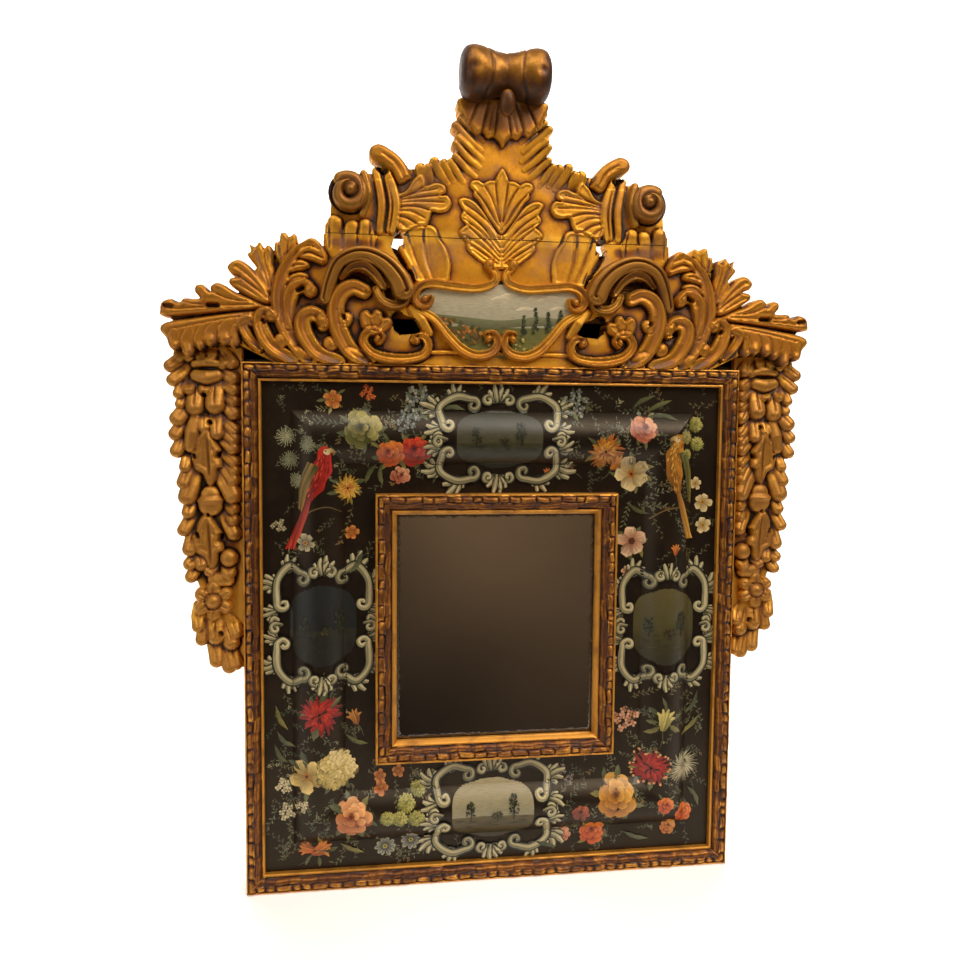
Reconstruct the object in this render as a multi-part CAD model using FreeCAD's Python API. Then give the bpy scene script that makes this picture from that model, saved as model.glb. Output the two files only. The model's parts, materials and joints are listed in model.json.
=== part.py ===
import FreeCAD, Part
import math
import os
from FreeCAD import Rotation, Vector

# Pediment mirror: a painted and gilt wall mirror with a carved crest and two carved wings.
# X runs to the right, Z up from the bottom edge of the frame, the wall is the plane Y = 0.
# Depth is measured from the wall towards the viewer, so a point at depth d has Y = -d.

# Frame, mm
frame_width = 760.0
frame_height = 800.0
carcass_depth = 26.0
stile_width = 90.0
rail_height = 90.0
crest_rail_rise = 70.0
peg_radius = 6.0

# Painted moulding: outer flat band, half-round and inner flat band
outer_gilt_width = 27.0
outer_band_width = 42.0
torus_width = 79.0
torus_rise = 20.0
inner_band_width = 45.0
painted_thickness = 16.0

# Gilt mouldings
outer_gilt_rise = 36.0
outer_gilt_fillet = 3.0
outer_gilt_step = 12.0
inner_gilt_width = 33.0
inner_gilt_rise = 24.0
inner_gilt_fillet = 3.0
inner_gilt_step = 10.0
sight_edge = 6.0
lip_cover = 12.0

# Glass, its backboard and the buttons that hold them
glass_thickness = 4.0
backboard_thickness = 10.0
pane_clearance = 0.5
button_length = 60.0
button_width = 16.0
button_thickness = 5.5
button_setback = 14.0
button_spacing = 240.0
button_clearance = 0.3

# Screws
screw_radius = 2.0
screw_head_radius = 4.0
screw_head_length = 2.5
screw_bite = 12.0
hole_clearance = 0.05
fitting_clearance = 0.2

# Crest: two planks jointed edge to edge on top of the frame
crest_drawn_width = 760.0
crest_thickness = 26.0
crest_seam = 188.0
crest_neck_top = 370.0
crest_undercut = 4.0
leaf_sink = 2.0
crest_screw_places = (70.0, 250.0)
dowel_radius = 5.0
dowel_length = 60.0
dowel_places = (40.0, 215.0)
batten_thickness = 18.0
batten_width = 40.0
batten_place = 75.0
batten_length = 215.0
batten_screw_steps = (-80.0, -30.0, 30.0, 70.0)
cartouche_thickness = 4.0
volute_place = (225.0, 247.0)
volute_radius = 33.0
volute_base = 8.0
volute_ridge = (5.0, 4.0, 3.0)
volute_eye = 5.5
volute_rise = 14.0
c_scroll_base = 4.0
c_scroll_rise = 24.0
cartouche_scroll_base = 3.0
cartouche_scroll_rise = 10.0
finial_roll_height = 422.0
finial_roll_depth = 71.0
finial_stem_width = 92.0
finial_tongue_drop = 34.0
finial_tongue_depth = 36.0
finial_tenon = (40.0, 14.0, 28.0)

# Wings
wing_drawn_length = 458.0
wing_length = 458.0
wing_thickness = 26.0
wing_top = 17.0
wing_lap_rise = 21.0
wing_lap_setback = 2.0
wing_lap_reach = 88.0
cleat_thickness = 8.0
cleat_height = 30.0
cleat_reach = 70.0
cleat_drops = (150.0, 380.0)
rosette_place = (45.0, 353.0)
rosette_radius = 31.0
rosette_petals = 6
rosette_boss = (10.0, 17.0)

# Hanging plates
plate_width = 30.0
plate_height = 80.0
plate_thickness = 3.0
plate_place = 300.0
plate_start = 20.0
plate_screw_steps = (10.0, 36.0)
plate_eye_radius = 5.0
plate_eye_drop = 15.0

half_width = frame_width / 2
crest_front = carcass_depth + crest_thickness
band_depth = carcass_depth + painted_thickness
painted_end = outer_gilt_width + outer_band_width + torus_width + inner_band_width
sight_offset = painted_end + inner_gilt_width
rebate_offset = sight_offset - lip_cover
glass_front = carcass_depth + backboard_thickness + glass_thickness
wing_back = cleat_thickness
wing_front = wing_back + wing_thickness


def at(x, z, depth):
    return Vector(x, -depth, z)


def block(x0, x1, z0, z1, back, front):
    return Part.makeBox(x1 - x0, front - back, z1 - z0, at(x0, z0, front))


def rod(x, z, radius, back, front):
    return Part.makeCylinder(radius, front - back, at(x, z, back), Vector(0, -1, 0))


def prism(outline, back, front):
    points = [at(x, z, back) for x, z in outline]
    face = Part.Face(Part.makePolygon(points + points[:1]))
    return face.extrude(Vector(0, back - front, 0))


def mirrored(shape):
    return shape.mirror(Vector(0, 0, 0), Vector(1, 0, 0))


def both(shape):
    return [shape, mirrored(shape)]


def joined(base, pieces):
    return base.multiFuse(pieces).removeSplitter().Solids[0]


def turned(profile, x, z):
    # Solid of revolution about a line through (x, z) square to the wall; profile is (radius, depth)
    points = [at(x + radius, z, depth) for radius, depth in profile]
    face = Part.Face(Part.makePolygon(points + points[:1]))
    return face.revolve(at(x, z, 0), Vector(0, 1, 0), 360)


def countersunk(x, z, head, tip, slack):
    shank = screw_radius + slack
    profile = [(0, head), (screw_head_radius + slack, head), (shank, head + screw_head_length),
               (shank, tip + slack), (0, tip + slack)]
    return turned(profile, x, z)


def round_head(x, z, seat, tip, slack):
    shank = screw_radius + slack
    profile = [(0, seat - screw_head_length), (screw_head_radius / 2, seat - screw_head_length),
               (screw_head_radius, seat), (shank, seat), (shank, tip + slack), (0, tip + slack)]
    return turned(profile, x, z)


def carved(spine, half_widths, rise, back, seat, crown=1, steps=0):
    # A carved stem or leaf along a curved spine: its half width goes from the first value to the
    # second at mid length and the third at the tip, and its ridge stands up to rise above the seat.
    # With crown 2 the section is rounded by a bevel each side of the ridge.
    line = Part.BSplineCurve()
    line.interpolate([at(x, z, 0) for x, z in spine])
    count = steps or len(spine) + 1
    start, middle, tip = half_widths
    sections = []
    for number in range(count):
        share = number / (count - 1)
        place = line.FirstParameter + (line.LastParameter - line.FirstParameter) * share
        point = line.value(place)
        run = line.tangent(place)[0]
        across = Vector(-run.z, 0, run.x)
        half = (start * (1 - share) * (1 - 2 * share) + middle * 4 * share * (1 - share)
                + tip * share * (2 * share - 1))
        height = rise * math.sqrt(half / max(half_widths))
        ring = [(-half, back), (-half, seat)]
        if crown == 2:
            ring.append((-0.62 * half, seat + 0.75 * height))
        ring.append((0, seat + height))
        if crown == 2:
            ring.append((0.62 * half, seat + 0.75 * height))
        ring += [(half, seat), (half, back)]
        corners = [point + across * side + Vector(0, -depth, 0) for side, depth in ring]
        sections.append(Part.makePolygon(corners + corners[:1]))
    return Part.makeLoft(sections, True, True)


def boss(x, z, radius, seat, rise):
    # A rounded berry or fruit standing on a carved face
    profile = [(0, seat - leaf_sink), (radius, seat - leaf_sink), (radius, seat),
               (0.75 * radius, seat + 0.7 * rise), (0.35 * radius, seat + rise), (0, seat + rise)]
    return turned(profile, x, z)


def spiral(x, z, outer, inner, start, turns, points):
    # Points of a spiral drawn inwards from radius outer at angle start (degrees), anticlockwise
    places = []
    for number in range(points):
        share = number / (points - 1)
        radius = outer + (inner - outer) * share
        angle = math.radians(start + 360 * turns * share)
        places.append((x + radius * math.cos(angle), z + radius * math.sin(angle)))
    return places


def on_crest(spine):
    # The crest is drawn from its centre line and the top of the frame, and widens with the frame
    stretch = frame_width / crest_drawn_width
    return [(x * stretch, frame_height + z) for x, z in spine]


def on_wing(spine):
    # The wing is drawn outwards from the frame's side and down from its top
    stretch = wing_length / wing_drawn_length
    return [(half_width + out, frame_height - drop * stretch) for out, drop in spine]


def mitred_bar(section, length):
    # A bar along X whose section is (offset from the outer edge, depth), mitred at both ends
    reach = max(vertex.Point.z for vertex in section.Vertexes)
    section.translate(Vector(-length / 2, 0, 0))
    bar = Part.Face(section).extrude(Vector(length, 0, 0))
    outline = [(-length / 2, 0), (length / 2, 0), (length / 2 - reach, reach), (reach - length / 2, reach)]
    return bar.common(prism(outline, 0, 2 * crest_front)).Solids[0]


def on_side(bar, side):
    places = {"bottom": (0, Vector(0, 0, 0)), "top": (180, Vector(0, 0, frame_height)),
              "left": (90, Vector(-half_width, 0, frame_height / 2)),
              "right": (-90, Vector(half_width, 0, frame_height / 2))}
    angle, move = places[side]
    placed = bar.copy()
    placed.Placement = FreeCAD.Placement(move, Rotation(Vector(0, 1, 0), angle))
    return placed


def painted_section():
    torus_start = outer_gilt_width + outer_band_width
    torus_end = torus_start + torus_width
    corners = [at(0, offset, depth) for offset, depth in [
        (torus_end, band_depth), (rebate_offset, band_depth), (rebate_offset, carcass_depth),
        (outer_gilt_width, carcass_depth), (outer_gilt_width, band_depth), (torus_start, band_depth)]]
    crown = at(0, (torus_start + torus_end) / 2, band_depth + torus_rise)
    edges = [Part.makeLine(a, b) for a, b in zip(corners, corners[1:])]
    return Part.Wire(edges + [Part.Arc(corners[-1], crown, corners[0]).toShape()])


def stepped_section(start, end, foot, step, rise, fillet, tail):
    # A half-round between two fillets; tail lists the corners from the inner fillet round to the start
    shoulder = foot + step
    spring = shoulder + 2 * fillet
    corners = [at(0, offset, depth) for offset, depth in [
        (end - fillet, spring), (end - fillet, shoulder)] + tail + [
        (start, foot), (start, shoulder), (start + fillet, shoulder), (start + fillet, spring)]]
    crown = at(0, (start + end) / 2, foot + rise)
    edges = [Part.makeLine(a, b) for a, b in zip(corners, corners[1:])]
    return Part.Wire(edges + [Part.Arc(corners[-1], crown, corners[0]).toShape()])


def outer_gilt_section():
    shoulder = carcass_depth + outer_gilt_step
    tail = [(outer_gilt_width, shoulder), (outer_gilt_width, carcass_depth)]
    return stepped_section(0, outer_gilt_width, carcass_depth, outer_gilt_step, outer_gilt_rise,
                           outer_gilt_fillet, tail)


def inner_gilt_section():
    shoulder = band_depth + inner_gilt_step
    bead_end = sight_offset - sight_edge
    lip_back = rebate_offset + pane_clearance
    tail = [(bead_end, shoulder), (sight_offset, shoulder - inner_gilt_step / 2), (sight_offset, glass_front),
            (lip_back, glass_front), (lip_back, band_depth)]
    return stepped_section(painted_end, bead_end, band_depth, inner_gilt_step, inner_gilt_rise,
                           inner_gilt_fillet, tail)


sides = ["top", "bottom", "left", "right"]
side_lengths = {"top": frame_width, "bottom": frame_width, "left": frame_height, "right": frame_height}

# Carcass joints: half-laps with a peg through each
lap = carcass_depth / 2
peg_spots = [(x, z) for x in (-half_width + stile_width / 2, half_width - stile_width / 2)
             for z in (rail_height / 2, frame_height - rail_height / 2)]

# Screws from the carcass into the painted mouldings, two a side
moulding_offset = outer_gilt_width + outer_band_width / 2
spread_x = frame_width / 4
spread_z = frame_height / 4
moulding_spots = {
    "top": [(-spread_x, frame_height - moulding_offset), (spread_x, frame_height - moulding_offset)],
    "bottom": [(-spread_x, moulding_offset), (spread_x, moulding_offset)],
    "left": [(moulding_offset - half_width, frame_height / 2 + step) for step in (-spread_z, spread_z)],
    "right": [(half_width - moulding_offset, frame_height / 2 + step) for step in (-spread_z, spread_z)]}

# Turn buttons: pivot places with the side that carries each and the way the button lies
pivot_offset = rebate_offset - button_setback
pivot_x = half_width - pivot_offset
pivot_low = frame_height / 2 - button_spacing / 2
pivot_high = frame_height / 2 + button_spacing / 2
buttons = [("left", -pivot_x, pivot_low), ("left", -pivot_x, pivot_high),
           ("right", pivot_x, pivot_low), ("right", pivot_x, pivot_high),
           ("top", 0, frame_height - pivot_offset), ("bottom", 0, pivot_offset)]
button_front = carcass_depth - button_clearance
button_back = button_front - button_thickness

# Crest and wing screws
crest_screw_row = frame_height + crest_rail_rise / 2
crest_spots = [(way * place, crest_screw_row) for place in crest_screw_places for way in (-1, 1)]
batten_foot = frame_height + crest_rail_rise
batten_spots = [(x, frame_height + crest_seam + step) for x in (-batten_place, batten_place)
                for step in batten_screw_steps]
batten_back = carcass_depth - batten_thickness
dowel_spots = [way * place for place in dowel_places for way in (-1, 1)]
cleat_rows = [frame_height - drop for drop in cleat_drops]
cleat_spots = [(half_width + way * cleat_reach / 2, z) for z in cleat_rows for way in (-1, 1)]
plate_foot = frame_height + plate_start
plate_spots = [(plate_place, plate_foot + step) for step in plate_screw_steps]
plate_screw_tip = carcass_depth - screw_radius
eye_height = plate_foot + plate_height - plate_eye_drop
moulding_screw_tip = carcass_depth + screw_bite


def screw_holes(spots, head, tip):
    return [countersunk(x, z, head, tip, hole_clearance) for x, z in spots]


def peg_holes():
    return [rod(x, z, peg_radius + hole_clearance, 0, carcass_depth) for x, z in peg_spots]


def without(shape, cutters):
    return shape.cut(cutters).Solids[0]


def rail(foot, top, lap_foot, cutters):
    shape = block(-half_width, half_width, foot, top, 0, carcass_depth)
    pocket = block(half_width - stile_width, half_width, lap_foot, lap_foot + rail_height, 0, lap)
    return without(shape, both(pocket) + peg_holes() + cutters)


def top_rail():
    lap_foot = frame_height - rail_height
    side = plate_width / 2 + fitting_clearance
    recess = block(plate_place - side, plate_place + side, plate_foot - fitting_clearance, batten_foot,
                   0, plate_thickness)
    cutters = both(recess) + screw_holes(moulding_spots["top"] + crest_spots, 0, crest_front)
    for hole in screw_holes(plate_spots, 0, plate_screw_tip):
        cutters += both(hole)
    return rail(lap_foot, frame_height + crest_rail_rise, lap_foot, cutters)


def bottom_rail():
    return rail(0, rail_height, 0, screw_holes(moulding_spots["bottom"], 0, crest_front))


def stile():
    inside = half_width - stile_width
    shape = block(inside, half_width, 0, frame_height, 0, carcass_depth)
    cutters = [block(inside, half_width, foot, foot + rail_height, lap, carcass_depth)
               for foot in (0, frame_height - rail_height)]
    notch = cleat_height / 2 + fitting_clearance
    notch_end = half_width - cleat_reach - fitting_clearance
    cutters += [block(notch_end, half_width, z - notch, z + notch, 0, cleat_thickness) for z in cleat_rows]
    cutters += screw_holes(moulding_spots["right"], 0, crest_front)
    cutters += screw_holes(cleat_spots, 0, cleat_thickness + screw_bite)
    return without(shape, cutters + peg_holes())


def painted_moulding(side):
    shape = on_side(mitred_bar(painted_section(), side_lengths[side]), side)
    cutters = screw_holes(moulding_spots[side], 0, moulding_screw_tip)
    cutters += [round_head(x, z, button_back, moulding_screw_tip, hole_clearance)
                for carrier, x, z in buttons if carrier == side]
    return without(shape, cutters)


def pane(back, front):
    gap = rebate_offset + pane_clearance
    return block(gap - half_width, half_width - gap, gap, frame_height - gap, back, front)


def turn_button(side, x, z):
    flat = button_length / 2 - button_width / 2
    run = (flat, 0) if side in ("left", "right") else (0, flat)
    cross = button_width / 2
    ends = [rod(x + way * run[0], z + way * run[1], cross, button_back, button_front) for way in (-1, 1)]
    reach_x = run[0] or cross
    reach_z = run[1] or cross
    body = block(x - reach_x, x + reach_x, z - reach_z, z + reach_z, button_back, button_front)
    shape = joined(body, ends)
    return shape.cut(rod(x, z, screw_radius + hole_clearance, button_back, button_front))


# Crest drawing, right half: (distance from the centre line, height above the frame)
lower_plate = [(0, 0), (345, 0), (372, 22), (382, 45), (452, 38), (460, 72), (400, 92), (365, 128),
               (338, 150), (300, 172), (262, 168), (262, crest_seam), (0, crest_seam)]
upper_plate = [(0, crest_seam), (143, crest_seam), (146, 198), (158, 196), (163, crest_seam),
               (260, crest_seam), (260, 204), (253, 212), (258, 247), (240, 277), (205, 278), (188, 284),
               (193, 306), (182, 318), (158, 304), (137, 290), (118, 300), (88, 306), (68, 318), (64, 340),
               (62, crest_neck_top), (0, crest_neck_top)]
piercings = [[(147, 198), (158, 197), (170, 172), (158, 152), (140, 133), (133, 126), (139, 145), (143, 172)],
             [(172, 97), (158, 95), (160, 106), (172, 109)],
             [(122, 58), (140, 70), (163, 80), (158, 62), (163, 43), (142, 40), (126, 46)]]
arch_hollow = [(242, 118), (238, 132), (215, 143), (193, 136), (185, 118)]
cartouche_field = [(0, 128), (20, 114), (48, 110), (104, 112), (104, 90), (90, 70), (66, 40), (38, 24),
                   (16, 30), (0, 38)]

# Spines of the carving, each with its half widths and rise
fan_leaves = [[(395, 72), (450, 80), (485, 72)], [(395, 62), (450, 52), (483, 44)],
              [(385, 80), (412, 92), (438, 98)], [(370, 90), (398, 104), (415, 108)],
              [(345, 98), (378, 126), (395, 136)],
              [(345, 104), (366, 128), (380, 141)], [(335, 118), (352, 150), (363, 164)],
              [(330, 122), (344, 155), (350, 168)], [(322, 146), (323, 172), (319, 182)],
              [(312, 156), (300, 174), (284, 178)]]
hanging_leaves = [[(440, 52), (460, 32), (472, 26)], [(425, 52), (440, 30), (446, 24)],
                  [(405, 54), (414, 36), (418, 30)], [(388, 54), (394, 40), (397, 34)]]
stems = [([(195, 8), (225, 22), (243, 50), (246, 80), (235, 102), (215, 108), (203, 98)], (5, 13, 6), 18),
         ([(240, 5), (277, 19), (299, 48), (298, 72), (281, 80), (266, 66)], (4, 10, 6), 16),
         ([(290, 8), (322, 50), (332, 100), (324, 140), (303, 163), (276, 174)], (4, 10, 5), 17),
         ([(312, 75), (308, 102), (291, 114), (278, 104)], (4, 9, 5), 13),
         ([(320, 130), (298, 140), (268, 140)], (4, 8, 3), 11),
         ([(316, 150), (295, 158), (268, 156)], (4, 8, 3), 11),
         ([(312, 4), (347, 17), (361, 48), (352, 75), (334, 68)], (4, 9, 5), 14),
         ([(340, 92), (400, 72), (478, 60)], (8, 7, 3), 12),
         ([(118, 70), (104, 50), (88, 34)], (4, 9, 4), 8)]
base_scroll = [(125, 38), (112, 40), (104, 25), (116, 9), (150, 6), (184, 10), (201, 27), (198, 43),
               (184, 50), (173, 42)]
shell_leaves = [[(192, 62), (176, 66), (163, 62)], [(194, 68), (184, 78), (172, 82)]]
horn_leaves = [([(170, 192), (162, 230), (172, 275), (188, 308)], (8, 12, 6), 14),
               ([(132, 262), (128, 282), (124, 292)], (6, 9, 6), 9),
               ([(108, 268), (104, 290), (98, 300)], (6, 9, 6), 9)]
side_leaves = [[(152, 238), (115, 248), (80, 240)], [(150, 244), (120, 262), (92, 264)],
               [(150, 230), (125, 222), (106, 214)], [(148, 224), (136, 208), (128, 202)]]
palmette_leaves = [[(4, 225), (18, 258), (42, 272)], [(5, 205), (30, 238), (60, 243)],
                   [(6, 185), (30, 212), (57, 216)], [(8, 160), (28, 184), (56, 192)]]
palmette_rib = [(0, 168), (0, 230), (0, 292)]
neck_leaves = [[(48, 296), (60, 314), (68, 326)], [(40, 312), (56, 338), (67, 352)],
               [(28, 330), (42, 352), (54, 366)]]
cartouche_upper = [(115, 98), (108, 100), (105, 92), (114, 86), (127, 90), (130, 104), (118, 116), (88, 117),
                   (48, 112), (22, 118), (9, 132), (10, 148), (20, 152)]
cartouche_lower = [(108, 78), (92, 62), (74, 40), (54, 22), (32, 16), (13, 22), (7, 36), (14, 47), (22, 42)]
c_scroll = [(258, 94), (254, 118), (240, 138), (216, 150), (190, 151), (168, 142), (153, 122), (151, 100),
            (160, 88), (176, 86)]

# Half of the finial's roll: (distance from the centre line, radius), with an eye sunk in its end
finial_roll = [(0, 0), (0, 31), (12, 32), (24, 35), (36, 38), (46, 39), (56, 36), (63, 28), (66, 18),
               (60, 9), (60, 0)]


def leaves(spines, half_widths, rise, back, seat):
    return [carved(on_crest(spine), half_widths, rise, back, seat) for spine in spines]


def lower_half():
    edge = carcass_depth + crest_undercut
    seat = crest_front - leaf_sink
    plate = prism(on_crest(lower_plate), carcass_depth, crest_front)
    pieces = leaves(fan_leaves, (7, 11, 7), 10, edge, seat)
    pieces += leaves(hanging_leaves, (5, 9, 6), 8, edge, seat)
    pieces += [carved(on_crest(spine), widths, rise, seat - leaf_sink, seat) for spine, widths, rise in stems]
    pieces.append(carved(on_crest(base_scroll), (5, 6, 5), 12, seat - leaf_sink, seat, steps=18))
    pieces += leaves(shell_leaves, (5, 8, 5), 9, seat - leaf_sink, seat)
    openings = [prism(on_crest(outline), 0, 2 * crest_front) for outline in piercings]
    openings.append(prism(on_crest(arch_hollow), (carcass_depth + crest_front) / 2, 2 * crest_front))
    openings.append(c_scroll_piece())
    return without(joined(plate, pieces), openings)


def upper_half():
    edge = carcass_depth + crest_undercut
    seat = crest_front - leaf_sink
    plate = prism(on_crest(upper_plate), carcass_depth, crest_front)
    pieces = [carved(on_crest(spine), widths, rise, edge, seat) for spine, widths, rise in horn_leaves]
    pieces += leaves(side_leaves, (4, 9, 5), 9, seat - leaf_sink, seat)
    pieces += leaves(neck_leaves, (5, 9, 6), 9, edge, seat)
    return joined(plate, pieces)


def palmette():
    seat = crest_front - leaf_sink
    pieces = []
    for spine in palmette_leaves:
        pieces += both(carved(on_crest(spine), (4, 9, 5), 10, seat - leaf_sink, seat))
    pieces.append(carved(on_crest(palmette_rib), (5, 11, 2), 13, seat - leaf_sink, seat))
    return pieces


def crest_boards():
    half = lower_half()
    lower = joined(half, [mirrored(half)] + palmette())
    half = upper_half()
    upper = joined(half, [mirrored(half)] + palmette())
    seam = frame_height + crest_seam
    neck = frame_height + crest_neck_top
    fixings = [dowel(x, hole_clearance) for x in dowel_spots]
    fixings += screw_holes(batten_spots, batten_back, moulding_screw_tip)
    lower = without(lower, fixings + screw_holes(crest_spots, 0, moulding_screw_tip)
                    + [slab(0, frame_height), slab(seam, 2 * seam), cartouche_solid(fitting_clearance)])
    upper = without(upper, fixings + [slab(0, seam), slab(neck, 2 * neck), tenon(fitting_clearance)])
    return lower, upper


def slab(foot, top):
    # All of the crest's breadth and depth between two heights
    return block(-frame_width, frame_width, foot, top, 0, 2 * crest_front)


def dowel(x, slack):
    length = dowel_length + 2 * slack
    foot = frame_height + crest_seam - length / 2
    middle = (carcass_depth + crest_front) / 2
    return Part.makeCylinder(dowel_radius + slack, length, at(x, foot, middle), Vector(0, 0, 1))


def cartouche_solid(slack):
    half = on_crest(cartouche_field)
    outline = half + [(-x, z) for x, z in reversed(half[1:-1])]
    panel = prism(outline, crest_front - cartouche_thickness, crest_front)
    if slack:
        face = panel.Faces[-1] if panel.Faces[-1].normalAt(0, 0).y < 0 else panel.Faces[-2]
        wider = face.makeOffset2D(slack, 2)
        panel = Part.Face(wider.Wires[0]).extrude(Vector(0, cartouche_thickness, 0))
    return panel


def volute():
    x, z = on_crest([volute_place])[0]
    seat = crest_front + volute_base
    disc = rod(x, z, volute_radius, crest_front, seat)
    start, middle, end = volute_ridge
    turns = spiral(x, z, volute_radius - start - leaf_sink, volute_eye + 2 * end, 200, -1.5, 20)
    ridge = carved(turns, volute_ridge, volute_rise, crest_front + leaf_sink, seat - leaf_sink, 2, 26)
    return joined(disc, [ridge, boss(x, z, volute_eye, seat, volute_rise)])


def c_scroll_piece():
    seat = crest_front + c_scroll_base
    return carved(on_crest(c_scroll), (10, 13, 7), c_scroll_rise, crest_front, seat, 2, 2 * len(c_scroll))


def cartouche_scroll(spine, half_widths):
    seat = crest_front + cartouche_scroll_base
    return carved(on_crest(spine), half_widths, cartouche_scroll_rise, crest_front, seat, 2, 2 * len(spine))


def tenon(slack):
    width, thick, length = finial_tenon
    middle = (carcass_depth + crest_front) / 2
    top = frame_height + crest_neck_top
    return block(-width / 2 - slack, width / 2 + slack, top - length - slack, top,
                 middle - thick / 2 - slack, middle + thick / 2 + slack)


def finial():
    # A leaf curled over forwards: a waisted roll lying across, with a tongue hanging in front
    centre = frame_height + finial_roll_height
    points = [at(x, centre + radius, finial_roll_depth) for x, radius in finial_roll]
    face = Part.Face(Part.makePolygon(points + points[:1]))
    roll = face.revolve(at(0, centre, finial_roll_depth), Vector(1, 0, 0), 360)
    top = frame_height + crest_neck_top
    side = finial_stem_width / 2
    stem = block(-side, side, top, centre, carcass_depth + crest_undercut, finial_roll_depth)
    tongue_root = (0, centre - finial_tongue_drop / 4)
    tongue = carved([tongue_root, (0, centre - finial_tongue_drop), (0, top)], (16, 15, 4), 8,
                    finial_roll_depth, finial_roll_depth + finial_tongue_depth)
    return joined(roll, [mirrored(roll), stem, tongue, tenon(0)])


# Wing drawing: (distance out from the frame's side, drop below its top)
wing_plate = [(0, -18), (94, -18), (90, 60), (88, 110), (82, 150), (80, 220), (78, 290), (72, 320), (56, 345),
              (56, 415), (40, 438), (20, 454), (0, 458)]
wing_lobes = 15
wing_lobe_first = 4.0
wing_lobe_pitch = 21.5
wing_lobe_reach = 103.0
wing_lobe_taper = 0.055
wing_ribs = [([(48, 28), (46, 50), (48, 72)], (10, 13, 5), 12),
             ([(46, 98), (50, 140), (48, 184)], (5, 14, 4), 16),
             ([(30, 102), (22, 140), (24, 176)], (5, 11, 5), 11),
             ([(64, 102), (72, 140), (68, 176)], (5, 11, 5), 11),
             ([(46, 226), (50, 265), (48, 308)], (5, 14, 4), 16),
             ([(28, 230), (20, 268), (22, 300)], (5, 10, 5), 11),
             ([(64, 230), (70, 265), (66, 300)], (5, 10, 5), 11),
             ([(42, 386), (34, 415), (22, 446)], (10, 13, 4), 13),
             ([(52, 384), (62, 394), (70, 396)], (6, 8, 5), 9),
             ([(46, 400), (56, 414), (64, 420)], (6, 8, 5), 9),
             ([(38, 416), (46, 432), (48, 444)], (6, 8, 5), 9),
             ([(26, 386), (14, 400), (10, 426)], (6, 8, 4), 9)]
wing_fruits = [(50, 14, 20, 12), (48, 205, 18, 14), (25, 285, 13, 11)]


def wing():
    edge = wing_back + crest_undercut
    seat = wing_front - leaf_sink
    plate = prism(on_wing(wing_plate), wing_back, wing_front)
    pieces = []
    for number in range(wing_lobes):
        drop = wing_lobe_first + number * wing_lobe_pitch
        reach = wing_lobe_reach - wing_lobe_taper * drop
        spine = [(reach - 36, drop - 15), (reach - 14, drop - 5), (reach - 3, drop + 3)]
        pieces.append(carved(on_wing(spine), (5, 10, 6), 9, edge, seat))
    pieces += [carved(on_wing(spine), widths, rise, edge, seat) for spine, widths, rise in wing_ribs]
    for out, drop, radius, rise in wing_fruits:
        x, z = on_wing([(out, drop)])[0]
        pieces.append(boss(x, z, radius, seat, rise))
    top = frame_height + wing_top
    trim = [slab(top, 2 * frame_height), block(0, half_width, 0, 2 * frame_height, 0, 2 * wing_front)]
    shape = without(joined(plate, pieces), trim + screw_holes(cleat_spots, 0, wing_back + screw_bite))
    # The upper end is thinned to slip behind the crest
    low, high = top - wing_lap_rise, top + wing_lap_rise
    lap_front = carcass_depth - wing_lap_setback
    lap = block(half_width, half_width + wing_lap_reach, low, high, wing_back, lap_front)
    return joined(shape, [lap])


def rosette():
    # Petals round a boss, set on the wing's face
    x, z = on_wing([rosette_place])[0]
    radius, rise = rosette_boss
    pieces = []
    for number in range(rosette_petals):
        angle = 2 * math.pi * (number + 0.5) / rosette_petals
        spine = [(x + r * math.cos(angle), z + r * math.sin(angle)) for r in (6, 18, rosette_radius)]
        pieces.append(carved(spine, (4, 11, 5), 12, wing_front, wing_front + leaf_sink))
    crown = wing_front + rise
    edge = crown - radius / 2
    boss = [(0, wing_front), (radius, wing_front), (radius, edge), (radius / 2, crown), (0, crown)]
    return joined(turned(boss, x, z), pieces)


def cleat(z):
    side = cleat_height / 2
    shape = block(half_width - cleat_reach, half_width + cleat_reach, z - side, z + side, 0, cleat_thickness)
    return without(shape, screw_holes(cleat_spots, 0, crest_front))


def batten():
    shape = block(batten_place - batten_width / 2, batten_place + batten_width / 2, batten_foot,
                  batten_foot + batten_length, batten_back, carcass_depth)
    return without(shape, screw_holes(batten_spots, batten_back, crest_front))


def hanger_plate():
    shape = block(plate_place - plate_width / 2, plate_place + plate_width / 2, plate_foot,
                  plate_foot + plate_height, 0, plate_thickness)
    eye = rod(plate_place, eye_height, plate_eye_radius, 0, plate_thickness)
    return without(shape, screw_holes(plate_spots, 0, crest_front) + [eye])


def screws(spots, head, tip):
    return [countersunk(x, z, head, tip, 0) for x, z in spots]


def save(name, shape):
    shape.exportStep("parts/" + name + ".step")


def save_pair(name, right):
    save(name + "_right", right)
    save(name + "_left", mirrored(right))


def save_group(name, solids):
    save(name, Part.makeCompound(solids))


os.makedirs("parts", exist_ok=True)

save("back_top_rail", top_rail())
save("back_bottom_rail", bottom_rail())
save_pair("back_stile", stile())
save_group("corner_pegs", [rod(x, z, peg_radius, 0, carcass_depth) for x, z in peg_spots])

for side in sides:
    save("painted_moulding_" + side, painted_moulding(side))
    save("outer_gilt_" + side, on_side(mitred_bar(outer_gilt_section(), side_lengths[side]), side))
    save("inner_gilt_" + side, on_side(mitred_bar(inner_gilt_section(), side_lengths[side]), side))
all_moulding_spots = [spot for side in sides for spot in moulding_spots[side]]
save_group("moulding_screws", screws(all_moulding_spots, 0, moulding_screw_tip))

save("mirror_glass", pane(glass_front - glass_thickness, glass_front))
save("backboard", pane(carcass_depth, carcass_depth + backboard_thickness))
for number, (side, x, z) in enumerate(buttons, 1):
    save("turn_button_%d" % number, turn_button(side, x, z))
button_screws = [round_head(x, z, button_back, moulding_screw_tip, 0) for side, x, z in buttons]
save_group("turn_button_screws", button_screws)

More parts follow.
